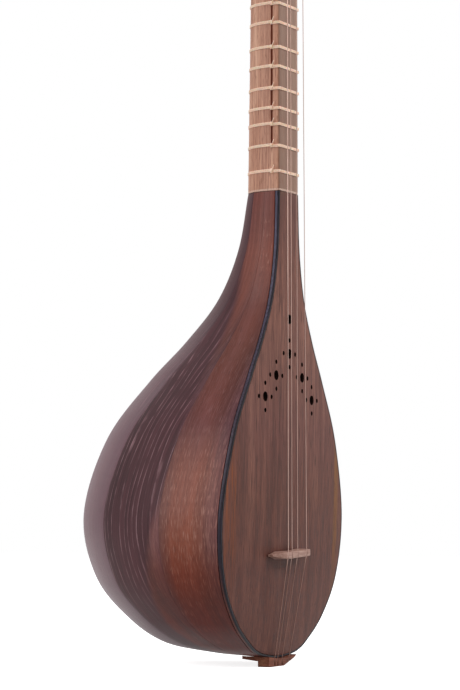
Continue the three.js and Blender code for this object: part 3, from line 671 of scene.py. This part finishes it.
# The bowl's rule: share of the board's length, of the width swell and of the depth swell
bowl = dict(
    width=157.2,
    depth=120.6,
    neckWidth=25.2,
    neckDepth=22.3,
    tailWidth=10.0,
    tailDepth=8.0,
    widest=6,
    rows=170,
    columns=11,
    wall=3.0,
    flatness=0.45,
    rimShare=0.8,
    ribs=7,
    seam=0.04,
    edgeRound=0.4,
    edgeDrop=0.06,
    stations=[
        (0, 0, 0), (0.1223, 0.03, 0.066), (0.2277, 0.124, 0.19), (0.3179, 0.3, 0.387),
        (0.4032, 0.517, 0.612), (0.5326, 0.816, 0.876), (0.7031, 1, 1), (0.8325, 0.92, 0.913),
        (0.9197, 0.69, 0.728), (0.971, 0.425, 0.535), (0.9894, 0.27, 0.29), (0.996, 0.136, 0.08),
        (1, 0, 0),
    ],
)
board = dict(
    thickness=2.4,
    crown=1.8,
    fall=6.8,
    strip=1.2,
    columns=28,
    rows=130,
    largeHole=5.6,
    smallHole=2.6,
    smallOffset=7.6,
    topHole=72.3,
    clusters=[(0, 91.9), (-17, 104.8), (17, 104.8), (-30.5, 117.2), (30.5, 117.2)],
)
rimBehind = board["thickness"] + seatGap


def stationPoints():
    points = []
    for i, (down, wide, deep) in enumerate(bowl["stations"]):
        end = "neck" if i <= bowl["widest"] else "tail"
        width, depth = bowl[end + "Width"], bowl[end + "Depth"]
        half = between(width, bowl["width"], wide) / 2
        points.append((half, between(depth, bowl["depth"], deep), down * boardLength))
    return np.array(points)


bowlPoints = stationPoints()


def stationAt(u):  # half width, depth and distance below the body's top, on one smooth curve
    last = len(bowlPoints) - 1
    i = min(int(u * last), last - 1)
    t = u * last - i
    p1, p2 = bowlPoints[i], bowlPoints[i + 1]
    p0 = bowlPoints[i - 1] if i > 0 else 2 * bowlPoints[0] - bowlPoints[1]
    p3 = bowlPoints[i + 2] if i + 2 <= last else 2 * bowlPoints[last] - bowlPoints[last - 1]
    d0, d1, d2 = (np.linalg.norm(b - a) ** 0.5 for a, b in ((p0, p1), (p1, p2), (p2, p3)))
    m1 = ((p1 - p0) / d0 - (p2 - p0) / (d0 + d1) + (p2 - p1) / d1) * d1
    m2 = ((p2 - p1) / d1 - (p3 - p1) / (d1 + d2) + (p3 - p2) / d2) * d1
    place = p1 + m1 * t + (3 * (p2 - p1) - 2 * m1 - m2) * t**2 + (2 * (p1 - p2) + m1 + m2) * t**3
    return np.minimum(place, bowlPoints.max(axis=0))


fineStations = np.array([stationAt(u) for u in np.linspace(0, 1, 1201)])


def fallAt(down):
    return board["fall"] * max(down / boardLength, 0) ** 2.5


def seamAngles(u):
    half, depth, _ = stationAt(u)
    angles = np.linspace(0, pi, 181)
    places = np.stack([half * np.cos(angles), depth * np.sin(angles)], 1)
    lengths = np.concatenate([[0], np.cumsum(np.linalg.norm(np.diff(places, axis=0), axis=1))])
    share = bowl["rimShare"]
    width = lengths[-1] / (bowl["ribs"] - 2 + 2 * share)
    inner = width * (share + np.arange(bowl["ribs"] - 1))
    return np.concatenate([[0], np.interp(inner, lengths, angles), [pi]])


def skinPoint(u, angle):
    half, depth, down = stationAt(u)
    behind = fallAt(down) + rimBehind + depth * sin(angle)
    return np.array([-half * cos(angle), behind, bodyTop - down])


def skinNormal(u, angle):
    step = 1e-3
    along = skinPoint(min(u + step, 1), angle) - skinPoint(max(u - step, 0), angle)
    around = skinPoint(u, angle + step) - skinPoint(u, angle - step)
    normal = np.cross(around, along)
    return normal / np.linalg.norm(normal)


def ribSkin(k):  # the outer face of one rib, with its edges eased
    points, places, along, before = [], [], 0.0, None
    for u in np.linspace(0, 1, bowl["rows"] + 1):
        seams = seamAngles(u)
        first, second = skinPoint(u, seams[k]), skinPoint(u, seams[k + 1])
        width = np.linalg.norm(second - first)
        eased = np.array([0, 0.3, 1]) * bowl["edgeRound"] / width
        low = bowl["seam"] / width
        inner = np.linspace(low + eased[2], 1 - low - eased[2], bowl["columns"])[1:-1]
        shares = np.concatenate([low + eased, inner, 1 - low - eased[::-1]])
        middle = skinPoint(u, (seams[k] + seams[k + 1]) / 2)
        along += 0 if before is None else float(np.linalg.norm(middle - before))
        before = middle
        for share in shares:
            angle, chord = between(*seams[k : k + 2], share), between(first, second, share)
            point = skinPoint(u, angle) * (1 - bowl["flatness"]) + chord * bowl["flatness"]
            edge = min(share, 1 - share) * width - bowl["seam"]
            drop = bowl["edgeDrop"] * max(1 - edge / bowl["edgeRound"], 0) ** 2
            points.append(point - skinNormal(u, angle) * drop)
            places.append(((share - 0.5) * width * 0.001, along * 0.001, (k + 1) * 0.1))
    faces, count = [], bowl["columns"] + 4
    for row in range(bowl["rows"]):
        for i in range(count - 1):
            a = row * count + i
            faces.append((a, a + 1, a + count + 1, a + count))
    obj = meshObject(f"bentRib{k + 1}", points, faces)
    layer = obj.data.attributes.new("ribPlace", "FLOAT_VECTOR", "POINT")
    layer.data.foreach_set("vector", np.array(places).ravel())
    return obj


def ribTree():  # gives a bent strip its thickness behind the outer face
    group, given = newTree("bentRib", {"Wall": ("Float", 0.003)})
    back = maths("MULTIPLY", given["Wall"], -1.0)
    push = {"Mesh": given["Geometry"], "Offset Scale": back, "Individual": False}
    inner = geometry("FlipFaces", {"Mesh": geometry("ExtrudeMesh", push, mode="FACES")})
    both = geometry("JoinGeometry", {0: given["Geometry"]})
    feed(both.node.inputs[0], inner)
    closed = geometry("MergeByDistance", {"Geometry": both, "Distance": 1e-6})
    return endTree(group, given, closed, setar["ribAngle"])


ribGroup = ribTree()
for k in range(bowl["ribs"]):
    grow(ribSkin(k), ribGroup, {"Wall": bowl["wall"] * 0.001}, "body", "bowl_wood", f"bowl_rib_{k + 1}")
print("ribs bent")


def rimAt(u, inset):  # the rim from the front, moved inwards
    step = 1e-3
    here, low, high = stationAt(u), stationAt(max(u - step, 0)), stationAt(min(u + step, 1))
    along = np.array([high[0] - low[0], high[2] - low[2]])
    along /= np.linalg.norm(along)
    return here[0] - along[1] * inset, max(here[2] + along[0] * inset, 0)


def boardFront(x, down):
    half = np.interp(down, fineStations[:, 2], fineStations[:, 0])
    swell = min((2 * half - bowl["tailWidth"]) / (bowl["width"] - bowl["tailWidth"]), 1)
    return fallAt(down) - board["crown"] * swell * max(1 - (x / half) ** 2, 0)


def boardSlab():
    rings = []
    for u in np.linspace(0, 1, board["rows"] + 1):
        half, down = rimAt(u, board["strip"] + seatGap * 0.5)
        xs = np.linspace(-half, half, board["columns"] + 1)
        face = [(x, boardFront(x, down), bodyTop - down) for x in xs]
        back = [(x, y + board["thickness"], z) for x, y, z in reversed(face)]
        rings.append(face + back)
    return loft("soundBoard", rings)


def holePlaces():
    holes = [(0, board["topHole"], board["largeHole"])]
    step = board["smallOffset"]
    for x, down in board["clusters"]:
        holes.append((x, down, board["largeHole"]))
        for side, drop in ((-step, 0), (step, 0), (0, -step), (0, step)):
            holes.append((x + side, down + drop, board["smallHole"]))
    deep = board["thickness"] / 2
    points = [(x, boardFront(x, down) + deep, bodyTop - down) for x, down, _ in holes]
    obj = meshObject("holePlaces", points)
    layer = obj.data.attributes.new("radius", "FLOAT", "POINT")
    layer.data.foreach_set("value", [size * 0.0005 for *_, size in holes])
    return obj


def holeTree():  # drills a hole at each point, straight through the board
    sizes = {"Holes": ("Object", None), "Reach": ("Float", 0.01), "Sides": ("Int", 36)}
    group, given = newTree("drilledBoard", sizes)
    spots = addBeside("GeometryNodeObjectInfo", {"Object": given["Holes"]}).outputs["Geometry"]
    turned = {"Vertices": given["Sides"], "Radius": 1.0, "Depth": given["Reach"]}
    drill = geometry("MeshCylinder", turned)
    radius = addNode(group, "GeometryNodeInputNamedAttribute", {"Name": "radius"}, data_type="FLOAT")
    across = {i: radius.outputs[0] for i in (0, 1)}
    size = addBeside("ShaderNodeCombineXYZ", {**across, 2: 1.0}).outputs[0]
    spread = {"Points": spots, "Instance": drill, "Rotation": (pi / 2, 0, 0), "Scale": size}
    drills = geometry("RealizeInstances", {"Geometry": geometry("InstanceOnPoints", spread)})
    mark = {"Geometry": drills, "Name": "drilled", "Value": 1.0}
    drills = geometry("StoreNamedAttribute", mark, data_type="FLOAT", domain="FACE")
    pair = {0: given["Geometry"], 1: drills}
    cut = geometry("MeshBoolean", pair, operation="DIFFERENCE", solver="EXACT")
    return endTree(group, given, cut, setar["boardAngle"])


holes = holePlaces()
grow(boardSlab(), holeTree(), {"Holes": holes}, "body", "board_wood", "soundboard")
bpy.data.objects.remove(holes)
print("board drilled")

barGroup = barTree()
bar = {"Width": board["strip"] * 0.001, "Thickness": board["thickness"] * 0.001, "Edge Radius": 0.00025}
for side, label in ((-1, "Left"), (1, "Right")):
    route = []
    for u in np.linspace(0, 1, board["rows"] + 1):
        half, down = rimAt(u, board["strip"] / 2)
        route.append((side * half, fallAt(down) + board["thickness"] / 2, bodyTop - down))
    route.append((side * seatGap / 2, route[-1][1], route[-1][2]))
    strip = pathObject("edgeStrip" + label, route)
    grow(strip, barGroup, bar, "body", "dark_strip", "edge_strip_" + label.lower())
print("strips laid")

neck = dict(
    width=(25.2, 23.4),
    depth=(25.0, 17.6),
    edge=0.9,
    edgeSteps=5,
    grooveBehind=4.7,
    grooveWidth=1.3,
    grooveDepth=0.8,
    grooveEnd=24.0,
    grooveFade=3.0,
    grooveLip=0.3,
    shaftFrom=54.0,
    shaftRings=12,
    tenonLength=16.0,
    tenonWidth=9.0,
    tenonDepth=10.0,
    arcSteps=40,
)


def neckSize(height):  # half width and depth
    share = (height - bodyTop) / (nutMiddle - bodyTop)
    return between(*neck["width"], share) / 2, between(*neck["depth"], share)


def neckRing(height, groove=0.0, front=0.0):  # flat front, rounded corners, round back, grooved left side
    half, depth = neckSize(height)
    edge, lip = neck["edge"], neck["grooveLip"]
    low, high = (neck["grooveBehind"] + way * neck["grooveWidth"] / 2 for way in (-1, 1))

    def side(y):
        return -half * sqrt(1 - ((y - rimBehind) / (depth - rimBehind)) ** 2)

    turns = np.linspace(0, pi / 2, neck["edgeSteps"])
    corner = [(half - edge + edge * sin(a), max(edge - edge * cos(a), front)) for a in turns]
    points = list(corner)
    last = pi - asin((high + lip - rimBehind) / (depth - rimBehind))
    for angle in np.linspace(0, last, neck["arcSteps"] + 1):
        points.append((half * cos(angle), rimBehind + (depth - rimBehind) * sin(angle)))
    points += [(side(high), high), (side(high) + groove, high), (side(low) + groove, low), (side(low), low)]
    points += [(side(low - lip), low - lip), (-half, rimBehind)]
    points += [(-x, y) for x, y in reversed(corner)]
    return [(x, y, height) for x, y in points]


def neckPiece():
    top, seat = (nutMiddle + way * setar["nutThickness"] / 2 for way in (1, -1))
    seat -= seatGap
    end = bodyTop + neck["grooveEnd"]
    depth, sink = neck["grooveDepth"], setar["nutSink"]
    rings = [neckRing(bodyTop + seatGap), neckRing(end), neckRing(end + neck["grooveFade"], depth)]
    shaft = np.linspace(bodyTop + neck["shaftFrom"], seat, neck["shaftRings"])
    rings += [neckRing(height, depth) for height in shaft]
    rings += [neckRing(seat + 0.01, depth, sink), neckRing(top, depth, sink)]
    middle = neck["depth"][0] / 2
    wide, deep = neck["tenonWidth"] / 2, neck["tenonDepth"] / 2
    tenon = []
    for x, y, z in rings[0]:
        y -= middle
        scale = min(wide / max(abs(x), 1e-6), deep / max(abs(y), 1e-6))
        tenon.append((x * scale, middle + y * scale, z))
    foot = [(x, y, z - neck["tenonLength"]) for x, y, z in tenon]
    return loft("neckShaft", [foot, tenon] + rings)


place(neckPiece(), "body", "neck_wood", "neck")
print("neck shaped")

strings = [
    dict(diameter=0.5, atBridge=-13.6, atNut=-7.8),
    dict(diameter=0.4, atBridge=-8.7, atNut=-4.5),
    dict(diameter=0.4, atBridge=-1.3, atNut=3.4),
    dict(diameter=0.4, atBridge=10.5, atNut=9.4),
]
notchFloor = setar["notchDepth"] - seatGap

bridge = dict(
    length=48.0,
    footThickness=4.4,
    topThickness=3.8,
    tipHeight=2.8,
    tipThickness=1.3,
    crestLength=28.4,
    archWidth=15.0,
    archHeight=1.8,
    edge=0.35,
    skew=0.05,
    skewFrom=-10,
    columns=97,
    notchFlank=0.02,
)
bridgeDown = bodyTop - setar["bridgeMiddle"]
bridgeBase = boardFront(0, bridgeDown) - seatGap


def bridgeSection(x, notch):
    half = bridge["length"] / 2
    rise = min(max((half - abs(x)) / (half - bridge["crestLength"] / 2), 0), 1)
    rise = rise * rise * (3 - 2 * rise)
    height = between(bridge["tipHeight"], setar["bridgeHeight"], rise)
    foot, crest = (
        between(bridge["tipThickness"], bridge[key], rise) / 2 for key in ("footThickness", "topThickness")
    )
    base = boardFront(x, bridgeDown) - seatGap
    top = min(bridgeBase - height, base - bridge["tipHeight"])
    arch = bridge["archHeight"] * sqrt(max(1 - (2 * x / bridge["archWidth"]) ** 2, 0))
    base = base - arch if arch > 0 else base
    top += setar["notchDepth"] if notch else 0
    edge = bridge["edge"]
    middle = setar["bridgeMiddle"] + bridge["skew"] * max(x, bridge["skewFrom"])
    ease = [(0, edge), (0.3 * edge, 0.3 * edge), (edge, 0)]
    ring = [(x, base, middle - foot)]
    ring += [(x, top + down, middle - crest + inward) for inward, down in ease]
    ring += [(x, top + down, middle + crest - inward) for inward, down in reversed(ease)]
    ring += [(x, base, middle + foot)]
    return ring


def bridgePiece():
    half, flank = bridge["length"] / 2, bridge["notchFlank"]
    xs = [(x, False) for x in np.linspace(-half, half, bridge["columns"])]
    for string in strings:
        low, high = (string["atBridge"] + side * setar["notchWidth"] / 2 for side in (-1, 1))
        xs = [item for item in xs if not low - 0.1 < item[0] < high + 0.1]
        xs += [(low, False), (low + flank, True), (high - flank, True), (high, False)]
    xs.sort()
    return loft("stringBridge", [bridgeSection(x, notch) for x, notch in xs])


place(bridgePiece(), "body", "bridge_wood", "bridge")
print("bridge cut")


def softened(name, node, radius, slot):  # a copy of a plain CAD piece, edges eased
    obj = addObject(name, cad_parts[node].data.copy())
    shape = bmesh.new()
    shape.from_mesh(obj.data)
    bmesh.ops.remove_doubles(shape, verts=shape.verts, dist=setar["mergeGap"])
    flat = radians(setar["flatAngle"])
    bmesh.ops.dissolve_limit(shape, angle_limit=flat, verts=shape.verts, edges=shape.edges)
    bmesh.ops.recalc_face_normals(shape, faces=shape.faces)
    shape.to_mesh(obj.data)
    shape.free()
    bevel = obj.modifiers.new("eased", "BEVEL")
    bevel.width, bevel.segments = radius, 2
    bevel.limit_method = "ANGLE"
    bevel.angle_limit = radians(setar["easeAngle"])
    keepShown(obj)
    turnOutward(obj)
    place(obj, "body", slot, node)


softened("nutBone", "nut", 0.00015, "bone")
softened("tailHolder", "tail_holder", 0.0003, "holder_wood")
softened("pegHead", "head", 0.0004, "head_wood")
print("nut, head and holder eased")

for node in ("neck_block", "tail_block", "board_brace"):
    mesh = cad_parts[node].data
    mesh.materials.clear()
    mesh.materials.append(finishes["plain_wood"])

peg = dict(
    shaft=6.6,
    standoff=11.0,
    knob=16.0,
    knobLength=21.0,
    overhang=3.0,
    sides=48,
    bulbRings=30,
    smoothing=4,
    sideDepth=9.0,
    sideHeights=[28, 70],
    frontHeights=[49, 91],
    headLength=118.0,
    headLean=4.0,
    headWidth=(23.4, 21.6),
    headDepth=(17.6, 15.5),
)


def headShare(above, pair):
    return between(*pair, above / peg["headLength"])


def pegFrames():  # each peg's own frame: Y runs from the head's face out to the knob
    frames = []
    for above in peg["sideHeights"]:
        half = headShare(above, peg["headWidth"]) / 2
        front = headShare(above, (0, peg["headLean"]))
        spot = Matrix.Translation((-half, front + peg["sideDepth"], nutMiddle + above))
        frames.append((spot @ Matrix.Rotation(pi / 2, 4, "Z"), 2 * half, Vector((0, -1, 0))))
    for above in peg["frontHeights"]:
        front = headShare(above, (0, peg["headLean"]))
        spot = Matrix.Translation((0, front, nutMiddle + above))
        through = headShare(above, peg["headDepth"]) - front
        frames.append((spot @ Matrix.Rotation(pi, 4, "X"), through, Vector((1, 0, 0))))
    return frames


def roundPoint(radius, angle, height):  # in a peg's own frame
    return Vector((radius * cos(angle), height, radius * sin(angle)))


def pegProfile(through):  # (radius, height) from the shaft's end to the knob's button
    shaft, knob = peg["shaft"] / 2, peg["knob"] / 2
    end, out, tall = -through - peg["overhang"], peg["standoff"], peg["knobLength"]
    rows = [(shaft * 0.8, end), (shaft * 0.95, end + 0.25), (shaft, end + 0.8), (shaft, out - 1)]
    rows += [(shaft * 1.3, out - 0.6), (shaft * 1.45, out), (shaft * 1.4, out + 0.7)]
    rows.append((shaft * 1.1, out + 1.6))
    bulb = [(1.1 * shaft, 1.6), (1.25 * shaft, 0.16 * tall), (knob * 0.82, tall * 0.38), (knob, tall * 0.6)]
    bulb += [(knob * 0.93, tall * 0.72), (knob * 0.72, tall * 0.82), (knob * 0.3, tall * 0.89)]
    radii, places = np.transpose(bulb)
    fine = np.linspace(places[0], places[-1], peg["bulbRings"])[1:]
    smooth = np.interp(fine, places, radii)
    for _ in range(peg["smoothing"]):
        smooth[1:-1] = (smooth[:-2] + 2 * smooth[1:-1] + smooth[2:]) / 4
    rows += [(r, out + y) for r, y in zip(smooth, fine)]
    button = [(0.22, 0.9), (0.27, 0.925), (0.28, 0.95), (0.24, 0.98), (0.1, 1.0)]
    rows += [(knob * r, out + tall * y) for r, y in button]
    return rows


wireGroup = wireTree()
winding = dict(turns=3, gap=0.45, standoff=2.2, steps=28)


def windingContact(string, matrix, near):  # where the string meets its winding, in the peg's frame
    radius = peg["shaft"] / 2 + seatGap + string["diameter"] / 2
    toPeg = matrix.inverted()
    start = toPeg @ Vector(nutContact(string))
    aim = toPeg.to_3x3() @ near
    spread = acos(radius / hypot(start.x, start.z))
    bearing = atan2(start.z, start.x)
    spots = [(roundPoint(radius, a, winding["standoff"]), a) for a in (bearing - spread, bearing + spread)]
    spot, angle = max(spots, key=lambda option: option[0].dot(aim))
    travel = spot - start
    turning = copysign(1, cos(angle) * travel.z - sin(angle) * travel.x)
    return radius, angle, spot, start, turning


def nutContact(string):
    top = nutMiddle + setar["nutThickness"] / 2
    return (string["atNut"], notchFloor - setar["nutHeight"] - string["diameter"] / 2, top)


holder = dict(width=36.0, front=4.0, lipRise=1.5, endBelowLip=2.0, spread=0.78)


def stringRoute(string, matrix, near):
    x = string["atBridge"] * holder["spread"]
    y = holder["front"] + notchFloor - string["diameter"] / 2
    lip = setar["boardEnd"] - seatGap + (abs(x) / (holder["width"] / 2)) ** 2 * holder["lipRise"]
    radius, _, spot, start, _ = windingContact(string, matrix, near)
    swept = radius + string["diameter"] + seatGap
    short = sqrt(swept**2 - radius**2)
    end = matrix @ (spot + (start - spot).normalized() * short)
    crest = bridgeBase - setar["bridgeHeight"] + notchFloor - string["diameter"] / 2
    route = [(x, y, lip - holder["endBelowLip"]), (x, y, lip)]
    route.append((string["atBridge"], crest, setar["bridgeMiddle"]))
    return [*route, nutContact(string), tuple(end)]


def windingRoute(string, matrix, near):
    radius, angle, _, _, turning = windingContact(string, matrix, near)
    pitch = string["diameter"] + winding["gap"]
    points = []
    for i in range(winding["turns"] * winding["steps"] + 1):
        turn = angle + turning * 2 * pi * i / winding["steps"]
        height = winding["standoff"] + pitch * i / winding["steps"]
        points.append(roundPoint(radius, turn, height))
    first = points[0] + (points[0] - points[1]).normalized() * string["diameter"]
    last = points[-1] + (points[-1] - points[-2]).normalized() * string["diameter"]
    return [tuple(matrix @ p) for p in [first, *points, last]]


for i, (string, (matrix, through, near)) in enumerate(zip(strings, pegFrames()), 1):
    body = f"peg_{i}_turning"
    angles = np.linspace(0, 2 * pi, peg["sides"], endpoint=False)
    rings = []
    for r, y in pegProfile(through):
        rings.append([tuple(matrix @ roundPoint(r, angle, y)) for angle in angles])
    place(loft(f"turnedPeg{i}", rings), body, "peg_wood", f"peg_{i}")
    wire = {"Diameter": string["diameter"] * 0.001, "Bend Radius": 0.0}
    coil = pathObject(f"pegWinding{i}", windingRoute(string, matrix, near))
    grow(coil, wireGroup, wire, body, "string_steel", f"peg_winding_{i}")
    wire["Bend Radius"] = 0.0006
    line = pathObject(f"wireString{i}", stringRoute(string, matrix, near))
    grow(line, wireGroup, wire, "body", "string_steel", f"string_{i}")
print("pegs turned, strings drawn")

fret = dict(
    pitches=[
        90, 145, 204, 294, 345, 408, 498, 560, 640, 702, 792, 845, 906, 996, 1047, 1100, 1200, 1267,
        1329, 1412, 1480, 1560, 1636, 1700, 1790, 1902,
    ],
    scale=650.0,
    gut=0.54,
    turns=3,
    gap=0.02,
    seat=0.06,
    arcSteps=14,
    wrapGap=0.5,
    wraps=(0.9, 0, -0.9),
    tail=2.6,
    tailLean=(-0.3, -0.5, 0.8),
)


def fretRoute(height):  # the turns round the neck, then the wraps of the knot and its cut tail
    outset = fret["seat"] + fret["gut"] / 2
    half, depth = (size + outset for size in neckSize(height))
    groove = neck["grooveBehind"]
    loop = [(-half, groove), (-half, rimBehind), (-half, -outset), (half, -outset), (half, rimBehind)]
    for angle in np.linspace(0, pi, fret["arcSteps"] + 1)[1:-1]:
        loop.append((half * cos(angle), rimBehind + (depth - rimBehind) * sin(angle)))
    pitch = fret["gut"] + fret["gap"]
    points = []
    for i in range(len(loop) * fret["turns"] + 1):
        x, y = loop[i % len(loop)]
        points.append((x, y, height + pitch * (i / len(loop) - fret["turns"] / 2)))
    high = pitch * fret["turns"] / 2 + fret["gut"] * 0.3
    out, inner = -half - fret["gut"] * 0.9, -half + fret["gut"] * 0.9
    for wrap in fret["wraps"]:
        y = groove + wrap * fret["wrapGap"]
        points += [(out, y, height + high), (out - 0.2, y, height), (out, y, height - high)]
        y -= fret["wrapGap"] / 2
        points += [(inner, y, height - high), (inner, y, height + high)]
    lean = Vector(fret["tailLean"]).normalized() * fret["tail"]
    y = groove - 1.4 * fret["wrapGap"]
    points += [(out + 0.1, y, height + high), (out + lean.x, y + lean.y, height + high + lean.z)]
    return points


gut = {"Diameter": fret["gut"] * 0.001, "Sides": 8, "Bend Radius": 0.0004}
heights = [nutMiddle - fret["scale"] * (1 - 2 ** (-cents / 1200)) for cents in fret["pitches"]]
for i, height in enumerate(heights, 1):
    band = pathObject(f"tiedFret{i:02d}", fretRoute(height))
    grow(band, wireGroup, gut, f"fret_{i:02d}_sliding", "gut", f"fret_{i:02d}")
print("frets tied")

# Floor, lights and camera
studio = dict(half=3.0, colour="#a6a6a6", gloss=0.72, glow=0.8, air=0.28)


def seenShare(tree, gloss):  # 1 for rays from the camera or through glass, gloss for mirrored ones
    rays = addNode(tree, "ShaderNodeLightPath").outputs
    share = maths("MAXIMUM", rays["Is Camera Ray"], rays["Is Transmission Ray"])
    return maths("MAXIMUM", share, maths("MULTIPLY", rays["Is Glossy Ray"], gloss))


def floorFinish():
    material, shader = newFinish("paleFloor", Roughness=0.9, Base_Color=shade(studio["colour"]))
    tree = shader.id_data
    white = addNode(tree, "ShaderNodeBsdfDiffuse", {"Color": (1, 1, 1, 1)}).outputs[0]
    lift = addNode(tree, "ShaderNodeEmission", {"Color": (1, 1, 1, 1), "Strength": studio["glow"]}).outputs[0]
    bright = addBeside("ShaderNodeAddShader", {0: white, 1: lift}).outputs[0]
    share = seenShare(tree, studio["gloss"])
    mix = addBeside("ShaderNodeMixShader", {0: share, 1: shader.outputs[0], 2: bright}).outputs[0]
    feed(tree.nodes["Material Output"].inputs["Surface"], mix)
    return material


half = studio["half"]
corners = [(-half, -half, 0), (half, -half, 0), (half, half, 0), (-half, half, 0)]
mesh = bpy.data.meshes.new("paleFloor")
mesh.from_pydata(corners, [], [(0, 1, 2, 3)])
ground = addObject("paleFloor", mesh)
ground.data.materials.append(floorFinish())

world = bpy.data.worlds.new("studioAir")
bpy.context.scene.world = world
world.use_nodes = True
air = world.node_tree
back = air.nodes["Background"]
back.inputs["Color"].default_value = (1, 1, 1, 1)
feed(back.inputs["Strength"], rescale(seenShare(air, 1.0), 0, 1, studio["air"], 1.0))

lamps = {
    "key": {"from": (-0.45, -1.25, 1.3), "aim": (0, 0, 0.25), "size": (0.7, 0.7), "watts": 12},
    "beam": {"from": (1.1, -1.3, 1.0), "aim": (0, 0, 0.1), "size": (0.06, 0.06), "watts": 12},
    "side": {"from": (-1.15, 1.1, 0.75), "aim": (0, 0, 0.3), "size": (0.45, 1.3), "watts": 13},
    "top": {"from": (0.1, 0.2, 2.2), "aim": (0, 0, 0.3), "size": (1.2, 1.2), "watts": 12},
}
for name, lamp in lamps.items():
    light = bpy.data.lights.new(name + "Lamp", "AREA")
    light.shape = "RECTANGLE"
    light.size, light.size_y = lamp["size"]
    light.energy = lamp["watts"]
    lampObject = addObject(name + "Lamp", light)
    lampObject.location = lamp["from"]
    turned = (Vector(lamp["aim"]) - Vector(lamp["from"])).to_track_quat("-Z", "Y")
    lampObject.rotation_euler = turned.to_euler()

view = {"from": (-1.332, -0.641, 0.0889), "turn": -63.266, "tilt": 93.579, "lens": 135.79}
camera = addObject("studioCamera", bpy.data.cameras.new("studioCamera"))
camera.location = view["from"]
camera.rotation_euler = (radians(view["tilt"]), 0, radians(view["turn"]))
camera.data.lens = view["lens"]
camera.data.sensor_width = 36
camera.data.clip_start, camera.data.clip_end = 0.05, 50
bpy.context.scene.camera = camera
bpy.context.scene.view_settings.view_transform = "Standard"
print("stage set")
